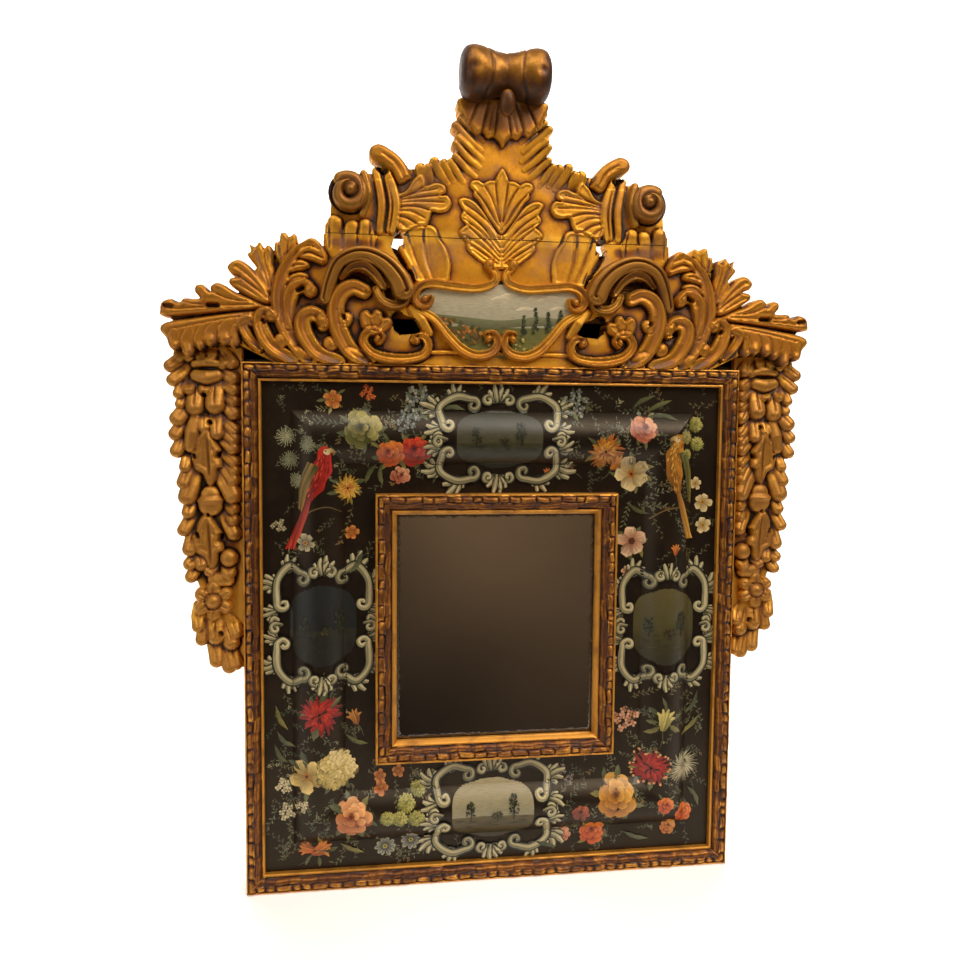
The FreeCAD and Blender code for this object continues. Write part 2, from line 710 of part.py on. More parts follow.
crest_lower, crest_upper = crest_boards()
save("crest_lower_board", crest_lower)
save("crest_upper_board", crest_upper)
save_group("crest_dowels", [dowel(x, 0) for x in dowel_spots])
save_pair("crest_batten", batten())
save_group("crest_screws", screws(crest_spots, 0, moulding_screw_tip)
           + screws(batten_spots, batten_back, moulding_screw_tip))
save("cartouche_panel", cartouche_solid(0))
save_pair("cartouche_upper_scroll", cartouche_scroll(cartouche_upper, (4, 7, 4)))
save_pair("cartouche_lower_scroll", cartouche_scroll(cartouche_lower, (6, 7, 4)))
save_pair("volute", volute())
save_pair("c_scroll", c_scroll_piece())
save("finial", finial())

save_pair("wing", wing())
save_pair("wing_rosette", rosette())
for name, z in zip(("upper", "lower"), cleat_rows):
    save_pair("wing_cleat_" + name, cleat(z))
wing_screws = screws(cleat_spots, 0, wing_back + screw_bite)
save_group("wing_screws", wing_screws + [mirrored(screw) for screw in wing_screws])

save_pair("hanger_plate", hanger_plate())
plate_screws = screws(plate_spots, 0, plate_screw_tip)
save_group("hanger_screws", plate_screws + [mirrored(screw) for screw in plate_screws])
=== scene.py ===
import json
import math

import bpy
import numpy as np
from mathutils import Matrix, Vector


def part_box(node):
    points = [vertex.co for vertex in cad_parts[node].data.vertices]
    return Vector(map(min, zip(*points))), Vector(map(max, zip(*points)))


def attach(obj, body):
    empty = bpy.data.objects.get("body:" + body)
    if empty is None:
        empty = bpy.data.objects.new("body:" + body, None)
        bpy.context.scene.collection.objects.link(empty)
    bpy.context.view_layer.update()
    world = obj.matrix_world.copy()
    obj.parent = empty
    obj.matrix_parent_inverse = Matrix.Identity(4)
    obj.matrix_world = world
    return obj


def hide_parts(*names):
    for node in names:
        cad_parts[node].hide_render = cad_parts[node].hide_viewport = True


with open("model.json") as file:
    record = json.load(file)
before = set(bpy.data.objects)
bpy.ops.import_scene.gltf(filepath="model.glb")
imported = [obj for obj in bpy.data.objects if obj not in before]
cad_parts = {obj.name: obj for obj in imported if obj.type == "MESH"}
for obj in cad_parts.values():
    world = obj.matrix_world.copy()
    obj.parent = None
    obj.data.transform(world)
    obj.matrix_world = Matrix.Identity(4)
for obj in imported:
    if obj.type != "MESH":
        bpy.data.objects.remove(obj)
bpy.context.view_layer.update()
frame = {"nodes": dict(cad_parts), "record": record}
print("frame loaded:", len(frame["nodes"]), "nodes")

# Everything is drawn in millimetres: x to the right, z up from the bottom edge, depth out from the wall
mm = 0.001
frameWidth = 760
frameHeight = 800
carverStep = 1.3


def colour(code):
    parts = [int(code[i:i + 2], 16) / 255 for i in (1, 3, 5)]
    return [p / 12.92 if p <= 0.04045 else ((p + 0.055) / 1.055) ** 2.4 for p in parts] + [1.0]


def setInputs(tree, node, inputs):
    # a socket is linked, anything else is set as the input's own value
    for key, value in inputs.items():
        if isinstance(value, bpy.types.NodeSocket):
            tree.links.new(value, node.inputs[key])
        else:
            node.inputs[key].default_value = value


def addNode(tree, kind, inputs=None, **settings):
    node = tree.nodes.new(kind)
    for key, value in settings.items():
        setattr(node, key, value)
    setInputs(tree, node, inputs or {})
    return node


def startFinish(name):
    finish = bpy.data.materials.new(name)
    finish.use_nodes = True
    tree = finish.node_tree
    tree.nodes.clear()
    shader = addNode(tree, "ShaderNodeBsdfPrincipled")
    addNode(tree, "ShaderNodeOutputMaterial", {"Surface": shader.outputs[0]})
    where = addNode(tree, "ShaderNodeTexCoord").outputs["Object"]
    return finish, tree, shader, where


def lumps(tree, where, size, detail=3.0, rough=0.55, stretch=(1, 1, 1)):
    # noise with lumps about size mm across, drawn out along an axis by stretch
    scale = [1 / (size * mm * s) for s in stretch]
    spread = addNode(tree, "ShaderNodeMapping", {"Vector": where, "Scale": scale})
    noise = {"Vector": spread.outputs[0], "Scale": 1.0, "Detail": detail, "Roughness": rough}
    return addNode(tree, "ShaderNodeTexNoise", noise).outputs[0]


def ramp(tree, value, stops):
    node = addNode(tree, "ShaderNodeValToRGB", {"Fac": value})
    band = node.color_ramp.elements
    band[0].position = stops[0][0]
    band[1].position = stops[-1][0]
    for place, _ in stops[1:-1]:
        band.new(place)
    for element, (place, shade) in zip(band, stops):
        element.color = colour(shade) if isinstance(shade, str) else (shade, shade, shade, 1)
    return node.outputs[0]


def blend(tree, amount, first, second, kind="MIX"):
    inputs = {0: amount, 6: first, 7: second}
    return addNode(tree, "ShaderNodeMix", inputs, data_type="RGBA", blend_type=kind).outputs[2]


def sums(tree, kind, first, second, third=0.0):
    inputs = {0: first, 1: second, 2: third}
    return addNode(tree, "ShaderNodeMath", inputs, operation=kind).outputs[0]


def dents(tree, height, strength, deep):
    inputs = {"Height": height, "Strength": strength, "Distance": deep * mm}
    return addNode(tree, "ShaderNodeBump", inputs).outputs[0]


def giltFinish(name, look):
    # gold leaf over red-brown bole: bright on the ground, rubbed brown on high places, grime and painted
    # shade in the hollows
    finish, tree, shader, where = startFinish(name)
    hollow = addNode(tree, "ShaderNodeAttribute", attribute_name="hollow").outputs["Fac"]
    rise = addNode(tree, "ShaderNodeAttribute", attribute_name="rise").outputs["Fac"]
    cloud = lumps(tree, where, 45, 4, 0.6)
    rub = lumps(tree, where, 9, 5, 0.65)
    speck = lumps(tree, where, 1.6, 3, 0.6)
    shade = sums(tree, "MULTIPLY_ADD", rub, look["patchy"], hollow)
    shade = sums(tree, "MULTIPLY_ADD", speck, 0.22, shade)
    shade = sums(tree, "SUBTRACT", shade, 0.5 * look["patchy"] + 0.11)
    # the two darkest stops stand for grime and for painted shade in the hollows
    tones = [(0.08, look["bright"]), (0.36, look["gold"]), (0.58, look["bole"]), (0.85, look["dirt"])]
    leaf = ramp(tree, shade, tones)
    worn = ramp(tree, cloud, [(0.5, 0.0), (0.66, look["worn"])])
    leaf = blend(tree, worn, leaf, colour(look["rubbed"]))
    high = sums(tree, "MULTIPLY_ADD", rub, 0.7, sums(tree, "MULTIPLY", rise, 0.8))
    leaf = blend(tree, ramp(tree, high, [(0.5, 0.0), (1.05, look["brown"])]), leaf, colour(look["raised"]))
    setInputs(tree, shader, {
        "Base Color": leaf,
        "Metallic": ramp(tree, shade, [(0.4, look["metal"]), (0.8, 0.1)]),
        "Roughness": ramp(tree, rub, [(0.3, look["gloss"]), (0.75, look["gloss"] + 0.18)]),
        "Normal": dents(tree, sums(tree, "MULTIPLY_ADD", speck, 0.5, rub), 0.35, 0.5),
    })
    return finish


def woodFinish(name, look, grain):
    # sawn wood: long streaks along the grain, pores and a few dark stains
    finish, tree, shader, where = startFinish(name)
    long = [1, 1, 1]
    long[grain] = 14
    rings = lumps(tree, where, 7, 4, 0.6, long)
    pores = lumps(tree, where, 0.9, 2, 0.5, long)
    stain = lumps(tree, where, 90, 3, 0.6)
    shade = ramp(tree, rings, [(0.3, look["dark"]), (0.5, look["wood"]), (0.72, look["pale"])])
    shade = blend(tree, ramp(tree, stain, [(0.5, 0.0), (0.75, 0.55)]), shade, colour(look["stain"]))
    shade = blend(tree, ramp(tree, pores, [(0.3, 0.5), (0.45, 0.0)]), shade, colour(look["dark"]))
    setInputs(tree, shader, {
        "Base Color": shade,
        "Roughness": ramp(tree, rings, [(0.3, look["rough"]), (0.8, look["rough"] + 0.12)]),
        "Normal": dents(tree, pores, 0.4, 0.3),
    })
    return finish


def metalFinish(name, look):
    # old metal: tarnish in clouds and fine pits
    finish, tree, shader, where = startFinish(name)
    cloud = lumps(tree, where, 9, 4, 0.6)
    pit = lumps(tree, where, 0.8, 2, 0.5)
    setInputs(tree, shader, {
        "Base Color": ramp(tree, cloud, [(0.3, look["dark"]), (0.6, look["metal"])]),
        "Metallic": 0.9,
        "Roughness": ramp(tree, cloud, [(0.3, look["rough"] + 0.2), (0.7, look["rough"])]),
        "Normal": dents(tree, pit, 0.3, 0.2),
    })
    return finish


crestGold = giltFinish("gold leaf on the crest", {
    "bright": "#E4A62E", "gold": "#CA8818", "bole": "#8A4C0E", "dirt": "#261204", "rubbed": "#9C6E48",
    "raised": "#A0621C", "patchy": 0.4, "worn": 0.6, "brown": 0.75, "metal": 0.66, "gloss": 0.4})
wingGold = giltFinish("gold leaf on the wings", {
    "bright": "#E0A43C", "gold": "#BC8022", "bole": "#7C4410", "dirt": "#1E0E03", "rubbed": "#8A5A34",
    "raised": "#946026", "patchy": 0.4, "worn": 0.6, "brown": 0.75, "metal": 0.6, "gloss": 0.42})
scrollGold = giltFinish("browned gold leaf on scrolls and finial", {
    "bright": "#D09632", "gold": "#98641C", "bole": "#5C320C", "dirt": "#1A0C03", "rubbed": "#5E3A18",
    "raised": "#7C4C1A", "patchy": 0.42, "worn": 0.65, "brown": 0.7, "metal": 0.62, "gloss": 0.38})
ripGold = giltFinish("gold leaf on the ripple mouldings", {
    "bright": "#C88A32", "gold": "#7E4A18", "bole": "#46210A", "dirt": "#170802", "rubbed": "#5E3418",
    "raised": "#6A3C1E", "patchy": 0.46, "worn": 0.6, "brown": 0.6, "metal": 0.6, "gloss": 0.38})
pineLook = {"dark": "#6B4A26", "wood": "#9A7040", "pale": "#B58C58", "stain": "#5C4126", "rough": 0.6}
pineAcross = woodFinish("old pine, grain across", pineLook, 0)
pineUpright = woodFinish("old pine, grain upright", pineLook, 2)
blackLook = {"dark": "#0E0B09", "wood": "#1A1512", "pale": "#272019", "stain": "#120E0B", "rough": 0.5}
blackPine = woodFinish("black stained pine", blackLook, 0)
limeLook = {"dark": "#7A5C38", "wood": "#A58153", "pale": "#BC9A6C", "stain": "#6A4D2E", "rough": 0.62}
limewood = woodFinish("bare limewood at the back", limeLook, 2)
oldIron = metalFinish("dark wrought iron", {"dark": "#1E1A17", "metal": "#4A433D", "rough": 0.45})
dullBrass = metalFinish("dull cast brass", {"dark": "#5A4420", "metal": "#A58443", "rough": 0.36})


def varnishFinish(name):
    # near-black oil ground under old varnish: brown clouds, fine cracks, worn matt spots
    finish, tree, shader, where = startFinish(name)
    cloud = lumps(tree, where, 80, 4, 0.6)
    brush = lumps(tree, where, 5, 4, 0.6)
    speck = lumps(tree, where, 1.2, 2, 0.5)
    cells = {"Vector": where, "Scale": 1 / (7 * mm)}
    cracks = addNode(tree, "ShaderNodeTexVoronoi", cells, feature="DISTANCE_TO_EDGE").outputs["Distance"]
    lines = ramp(tree, cracks, [(0.0, 0.0), (0.05, 1.0)])
    ground = ramp(tree, cloud, [(0.3, "#0C0805"), (0.5, "#140D08"), (0.72, "#21170E")])
    ground = blend(tree, ramp(tree, speck, [(0.66, 0.0), (0.76, 0.4)]), ground, colour("#43382A"))
    setInputs(tree, shader, {
        "Base Color": ground,
        "Roughness": ramp(tree, brush, [(0.3, 0.34), (0.75, 0.48)]),
        "Specular IOR Level": 0.36,
        "Specular Tint": colour("#FFE9CC"),
        "Normal": dents(tree, sums(tree, "MULTIPLY_ADD", lines, 0.5, brush), 0.25, 0.25),
    })
    return finish


def oilFinish(name):
    # oil colour laid on in strokes: its hue comes with the stroke, bristle marks run along it
    finish, tree, shader, where = startFinish(name)
    hue = addNode(tree, "ShaderNodeAttribute", attribute_name="oil").outputs["Color"]
    along = addNode(tree, "ShaderNodeUVMap", uv_map="brush").outputs[0]
    bristles = addNode(tree, "ShaderNodeMapping", {"Vector": along, "Scale": (0.09, 1.3, 1.0)})
    noise = {"Vector": bristles.outputs[0], "Scale": 1.0, "Detail": 3.0}
    marks = addNode(tree, "ShaderNodeTexNoise", noise).outputs[0]
    thin = ramp(tree, marks, [(0.3, 0.72), (0.5, 1.0), (0.75, 1.18)])
    setInputs(tree, shader, {
        "Base Color": blend(tree, 1.0, hue, thin, "MULTIPLY"),
        "Roughness": ramp(tree, marks, [(0.3, 0.36), (0.8, 0.52)]),
        "Normal": dents(tree, marks, 0.4, 0.3),
    })
    return finish


def mirrorFinish(name, look):
    # tinned plate glass: a faint grey-green cast and foxing that creeps in from the edges
    finish, tree, shader, where = startFinish(name)
    apart = addNode(tree, "ShaderNodeSeparateXYZ", {0: where})
    fromMiddle = sums(tree, "ABSOLUTE", apart.outputs[0], 0.0)
    fromSide = sums(tree, "SUBTRACT", look["halfWidth"] * mm, fromMiddle)
    upFrom = sums(tree, "ABSOLUTE", sums(tree, "SUBTRACT", apart.outputs[2], look["middle"] * mm), 0.0)
    fromEnd = sums(tree, "SUBTRACT", look["halfHeight"] * mm, upFrom)
    edge = sums(tree, "MINIMUM", fromSide, fromEnd)
    spots = lumps(tree, where, 8, 6, 0.7)
    creep = sums(tree, "MULTIPLY_ADD", spots, look["creep"] * mm, edge)
    share = sums(tree, "MULTIPLY", creep, 1 / (look["creep"] * mm))
    tarnish = ramp(tree, share, [(0.62, 1.0), (0.82, 0.0)])
    wave = lumps(tree, where, 120, 2, 0.4)
    silver = blend(tree, tarnish, colour(look["silver"]), colour(look["tarnish"]))
    setInputs(tree, shader, {
        "Base Color": silver,
        "Metallic": 1.0,
        "Roughness": ramp(tree, tarnish, [(0.0, 0.025), (1.0, 0.4)]),
        "Normal": dents(tree, wave, 0.05, 0.6),
    })
    return finish


blackVarnish = varnishFinish("black oil ground, varnished")
oilPaint = oilFinish("oil colours")
oldMirror = mirrorFinish("tinned mirror glass", {
    "halfWidth": 154, "halfHeight": 174, "middle": 400, "creep": 16,
    "silver": "#D6D4CB", "tarnish": "#6E675A"})
print("finishes ready:", len(bpy.data.materials))


def readPoints(piece):
    spots = np.empty(len(piece.data.vertices) * 3)
    piece.data.vertices.foreach_get("co", spots)
    return spots.reshape(-1, 3)


def writePoints(piece, spots):
    piece.data.vertices.foreach_set("co", np.ascontiguousarray(spots, dtype=np.float32).ravel())
    piece.data.update()


def pick(piece, flags):
    # select these points, then work in edit mode
    bpy.context.tool_settings.mesh_select_mode = (True, False, False)
    piece.data.vertices.foreach_set("select", np.asarray(flags, dtype=bool))
    piece.data.edges.foreach_set("select", np.zeros(len(piece.data.edges), dtype=bool))
    piece.data.polygons.foreach_set("select", np.zeros(len(piece.data.polygons), dtype=bool))


flatHollow = 0.34  # what an even face gets
smoothShare = 0.6  # how far a point moves towards its neighbours in one pass


def markHollows(piece, passes, gain, tone=0.0):
    # how far each point lies under its smoothed surroundings, kept as an attribute for the gilding, which
    # darkens the hollows with grime and painted shade; tone is added on top
    mesh = piece.data
    spots = readPoints(piece)
    count = len(spots)
    ends = np.empty(len(mesh.edges) * 2, dtype=np.int32)
    mesh.edges.foreach_get("vertices", ends)
    one, two = ends[::2], ends[1::2]
    links = np.maximum(np.bincount(ends, minlength=count), 1)[:, None]
    soft = spots.copy()
    for turn in range(passes):
        around = [np.bincount(one, soft[two, i], count) + np.bincount(two, soft[one, i], count)
                  for i in range(3)]
        soft = (1 - smoothShare) * soft + smoothShare * np.stack(around, 1) / links
    normals = np.empty(count * 3)
    mesh.vertices.foreach_get("normal", normals)
    sunk = ((soft - spots) * normals.reshape(-1, 3)).sum(1) / mm
    hollow = np.clip(flatHollow + gain * sunk + tone, 0, 1)
    mesh.attributes.new("hollow", "FLOAT", "POINT").data.foreach_set("value", hollow.astype(np.float32))


def finishPiece(piece, finishes, replaced, angle=42):
    for finish in finishes:
        piece.data.materials.append(finish)
    bpy.ops.object.select_all(action="DESELECT")
    piece.select_set(True)
    bpy.context.view_layer.objects.active = piece
    bpy.ops.object.shade_smooth_by_angle(angle=math.radians(angle))
    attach(piece, "mirror")
    if replaced:
        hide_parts(*replaced)


def bareBack(piece):
    # the second finish on the faces turned to the wall
    facing = np.empty(len(piece.data.polygons) * 3)
    piece.data.polygons.foreach_get("normal", facing)
    toWall = facing.reshape(-1, 3)[:, 1] > 0.9
    piece.data.polygons.foreach_set("material_index", toWall.astype(np.int32))


def drawLine(points, step=2.0):
    # a smooth line through the drawn points
    spots = np.array(points, dtype=float)
    ring = np.vstack([2 * spots[0] - spots[1], spots, 2 * spots[-1] - spots[-2]])
    parts = []
    for a, b, c, d in zip(ring, ring[1:], ring[2:], ring[3:]):
        count = max(2, int(np.hypot(*(c - b)) / step))
        t = np.linspace(0, 1, count, endpoint=False)[:, None]
        square, cube = 2 * a - 5 * b + 4 * c - d, 3 * b - a - 3 * c + d
        parts.append(0.5 * (2 * b + (c - a) * t + square * t ** 2 + cube * t ** 3))
    return np.vstack(parts + [spots[-1:]])


def curl(middle, radii, degrees, count=16):
    # points of a spiral about its middle
    turn = np.radians(np.linspace(degrees[0], degrees[1], count))
    reach = np.linspace(radii[0], radii[1], count)
    return [(middle[0] + r * math.cos(a), middle[1] + r * math.sin(a)) for r, a in zip(reach, turn)]


def nearLine(spots, line):
    # gap to the line, how far along it that is from 0 to 1, and on which side
    run = np.diff(line, axis=0)
    length = np.hypot(run[:, 0], run[:, 1])
    start = np.concatenate([[0], np.cumsum(length)])
    rel = spots[:, None, :] - line[None, :-1]
    t = np.clip((rel * run).sum(2) / length ** 2, 0, 1)
    off = rel - t[..., None] * run
    gap = np.hypot(off[..., 0], off[..., 1])
    best = gap.argmin(1)
    rows = np.arange(len(spots))
    side = np.sign(run[best, 0] * rel[rows, best, 1] - run[best, 1] * rel[rows, best, 0])
    return gap[rows, best], (start[best] + t[rows, best] * length[best]) / start[-1], side


farOut = -1000.0


def insideBy(spots, outline):
    # how far each point lies inside a straight-sided outline, negative outside
    corners = np.array(outline, dtype=float)
    inside = np.full(len(spots), farOut)
    near = np.flatnonzero(((spots > corners.min(0) - 12) & (spots < corners.max(0) + 12)).all(1))
    if not len(near):
        return inside
    x, z = spots[near].T
    gap, along, side = nearLine(spots[near], np.vstack([corners, corners[:1]]))
    odd = np.zeros(len(near), dtype=bool)
    for (x0, z0), (x1, z1) in zip(corners, np.roll(corners, -1, axis=0)):
        if z0 != z1:
            odd ^= ((z0 > z) != (z1 > z)) & (x < (x1 - x0) * (z - z0) / (z1 - z0) + x0)
    inside[near] = np.where(odd, gap, -gap)
    return inside


crossEdge = {"finger": 0.42, "tip": 0.2, "stem": 0.35, "ribbon": 0.5, "plain": 0.25}


def crossCut(kind, v, outer):
    # height across a stroke, 0 to 1: v is 0 on its line and 1 at its edge, outer is 1 outside its bend
    dome = np.sqrt(1 - v ** 2)
    if kind == "finger":
        return dome - 0.1 * np.exp(-(v / 0.14) ** 2)
    if kind == "stem":
        ridge = 0.5 * np.exp(-((outer - 0.5) / 0.3) ** 2) - 0.16 * np.exp(-((outer + 0.2) / 0.3) ** 2)
        return (0.5 + ridge) * np.sqrt(1 - v ** 8)
    if kind == "ribbon":
        return (0.9 - 0.4 * np.exp(-((outer - 0.25) / 0.12) ** 2)) * np.sqrt(1 - v ** 4)
    if kind == "tip":
        return (1 - v ** 3) ** 0.6
    return dome


def carveLobe(drawn, margin, depth, tone, ground, lobe):
    # a flat leaf drawn by its outline: rounded shoulder, a raised rim and a slightly dished middle
    kind, (shoulder, rim), (rise, dish), points = lobe
    outline = drawLine(points + points[:1])
    near = np.flatnonzero(((drawn > outline.min(0) - 6) & (drawn < outline.max(0) + 6)).all(1))
    if not len(near):
        return
    inside = insideBy(drawn[near], outline[:-1])
    t = np.clip((inside + 0.6) / shoulder, 0, 1)
    sunk = np.clip((inside - rim) / rim, 0, 1)
    raised = ground + rise * np.sqrt(1 - (1 - t) ** 2) - dish * sunk * sunk * (3 - 2 * sunk)
    old = depth[near]
    fused = np.maximum(old, raised)
    ditch = old - 0.9 * np.exp(-(inside / 1.6) ** 2)
    depth[near] = np.where(inside > -0.6, fused, ditch)
    margin[near] = np.maximum(margin[near], inside)


def carveStroke(drawn, margin, depth, tone, ground, stroke):
    kind, widths, crowns, points = stroke
    line = drawLine(points)
    reach = max(widths) + 6
    near = np.flatnonzero(((drawn > line.min(0) - reach) & (drawn < line.max(0) + reach)).all(1))
    if not len(near):
        return
    gap, along, side = nearLine(drawn[near], line)
    half = np.interp(along, (0, 0.5, 1), widths)
    crown = np.interp(along, (0, 0.5, 1), crowns)
    v = np.minimum(gap / half, 1)
    if kind == "hole":
        depth[near] -= crown * np.exp(-3 * v ** 4)
    elif kind == "cut":
        depth[near] -= crown * np.exp(-(gap / half) ** 2)
    # a painted-shade stroke only darkens the gilding's tone; the face stays as carved
    elif kind == "soot":
        tone[near] += crown * np.exp(-2 * v ** 4) * (gap < half)
    else:
        run = np.diff(line, axis=0)
        bend = np.sign(np.sum(run[:-1, 0] * run[1:, 1] - run[:-1, 1] * run[1:, 0]))
        edge = crossEdge[kind] * np.clip((half - gap) / 1.6, 0, 1)
        raised = ground + crown * (edge + (1 - crossEdge[kind]) * crossCut(kind, v, -bend * side * v))
        old = depth[near]
        fused = np.maximum(old, raised) + np.maximum(1.2 - np.abs(old - raised), 0) ** 2 / 4.8
        ditch = old - 0.1 * crown * np.exp(-((gap - half) / 1.6) ** 2)
        depth[near] = np.where(gap < half, fused, ditch)
        margin[near] = np.maximum(margin[near], half - gap)


def relief(job, spots):
    # margin is how far a point lies inside the piece, depth how far its face stands out from the wall
    drawn = np.stack([np.abs(spots[:, 0]), spots[:, 1]], 1)
    wander = np.minimum(drawn[:, 0] / 60, 1) * np.sin(spots[:, 0] / 41 + 1) * np.cos(spots[:, 1] / 33)
    drawn[:, 1] += 1.3 * wander
    drawn[:, 0] += 0.9 * wander
    margin = np.full(len(spots), farOut)
    depth = job["ground"] + 0.5 * np.sin(spots[:, 0] / 17 + spots[:, 1] / 29) * np.cos(spots[:, 1] / 13)
    tone = np.full(len(spots), job.get("tone", 0.0))
    for outline in job.get("plates", ()):
        margin = np.maximum(margin, insideBy(drawn, outline))
    for level, outline in job.get("hollows", ()):
        depth = np.where(insideBy(drawn, outline) > 0, level, depth)
    for stroke in job["strokes"]:
        carve = carveLobe if stroke[0] == "lobe" else carveStroke
        carve(drawn, margin, depth, tone, job["ground"], stroke)
    for outline in job.get("cuts", ()):
        margin = np.minimum(margin, -insideBy(drawn, outline))
    low, high = job.get("between", (-1000, 5000))
    margin = np.minimum(margin, np.minimum(spots[:, 1] - low, high - spots[:, 1]))
    return margin, depth, tone


def wholeCells(keep):
    # points of the grid that still belong to a whole cell, without cells that touch at one corner only
    for turn in range(6):
        cells = np.pad(keep[:-1, :-1] & keep[1:, :-1] & keep[:-1, 1:] & keep[1:, 1:], 1)
        a, b, c, d = cells[:-1, :-1], cells[:-1, 1:], cells[1:, :-1], cells[1:, 1:]
        pinched = (a & d & ~b & ~c) | (b & c & ~a & ~d)
        keep = (a | b | c | d) & ~pinched
    return keep


fullRise = 14  # relief that counts as wholly raised


def carvePiece(name, job, box, finish, replaced):
    # a fine grid, cut to the outline and closed by a back while still flat, then pushed out to the relief
    step = carverStep * job.get("fine", 1.0)
    x0, x1, z0, z1 = box
    across, up = int((x1 - x0) / step), int((z1 - z0) / step)
    bpy.ops.object.select_all(action="DESELECT")
    bpy.ops.mesh.primitive_grid_add(x_subdivisions=across, y_subdivisions=up, size=1)
    piece = bpy.context.object
    piece.name = name
    flat = readPoints(piece)
    spots = flat[:, :2] * (x1 - x0, z1 - z0) + ((x0 + x1) / 2, (z0 + z1) / 2)
    margin, depth, tone = relief(job, spots)
    board = margin.reshape(up + 1, across + 1)
    slopeUp, slopeAcross = np.gradient(board, (z1 - z0) / up, (x1 - x0) / across)
    slope = np.stack([slopeAcross.ravel(), slopeUp.ravel()], 1)
    rim = np.abs(margin) < step / 2
    steep = np.maximum((slope[rim] ** 2).sum(1, keepdims=True), 0.25)
    spots[rim] -= np.clip(margin[rim, None] * slope[rim] / steep, -step * 0.6, step * 0.6)
    depth[rim] = relief(job, spots[rim])[1]
    home = piece.data.attributes.new("home", "INT", "POINT")
    home.data.foreach_set("value", np.arange(len(flat), dtype=np.int32))
    keep = wholeCells((margin > -step / 2).reshape(up + 1, across + 1))
    pick(piece, ~keep.ravel())
    bpy.ops.object.mode_set(mode="EDIT")
    bpy.ops.mesh.delete(type="VERT")
    bpy.ops.mesh.select_all(action="DESELECT")
    bpy.ops.mesh.select_non_manifold(
        use_wire=False, use_multi_face=False, use_non_contiguous=False, use_verts=False)
    bpy.ops.mesh.extrude_region_move()
    bpy.ops.object.mode_set(mode="OBJECT")
    behind = np.empty(len(piece.data.vertices), dtype=bool)
    piece.data.vertices.foreach_get("select", behind)
    bpy.ops.object.mode_set(mode="EDIT")
    bpy.ops.mesh.fill(use_beauty=False)
    bpy.ops.object.mode_set(mode="OBJECT")
    index = np.empty(len(behind), dtype=np.int32)
    piece.data.attributes["home"].data.foreach_get("value", index)
    piece.data.attributes.remove(piece.data.attributes["home"])
    depth = np.where(behind, job["back"], depth[index])
    writePoints(piece, np.stack([spots[index, 0], -depth, spots[index, 1]], 1) * mm)
    bpy.ops.object.mode_set(mode="EDIT")
    bpy.ops.mesh.select_all(action="SELECT")
    bpy.ops.mesh.normals_make_consistent(inside=False)
    bpy.ops.object.mode_set(mode="OBJECT")
    passes = int(job.get("reach", 8) ** 2 / (smoothShare * step ** 2))
    markHollows(piece, passes, job.get("gain", 0.2), np.where(behind, 0.5, tone[index]))
    rise = np.clip((depth - job["ground"]) / fullRise, 0, 1)
    piece.data.attributes.new("rise", "FLOAT", "POINT").data.foreach_set("value", rise.astype(np.float32))
    finishPiece(piece, [finish, limewood], replaced)
    bareBack(piece)
    print(name, len(piece.data.polygons), "faces")


def carvePair(name, job, box, finish, node):
    # the same piece on the left and on the right of the middle
    x0, x1, z0, z1 = box
    carvePiece(name + "left", job, (-x1, -x0, z0, z1), finish, [node + "left"])
    carvePiece(name + "right", job, box, finish, [node + "right"])


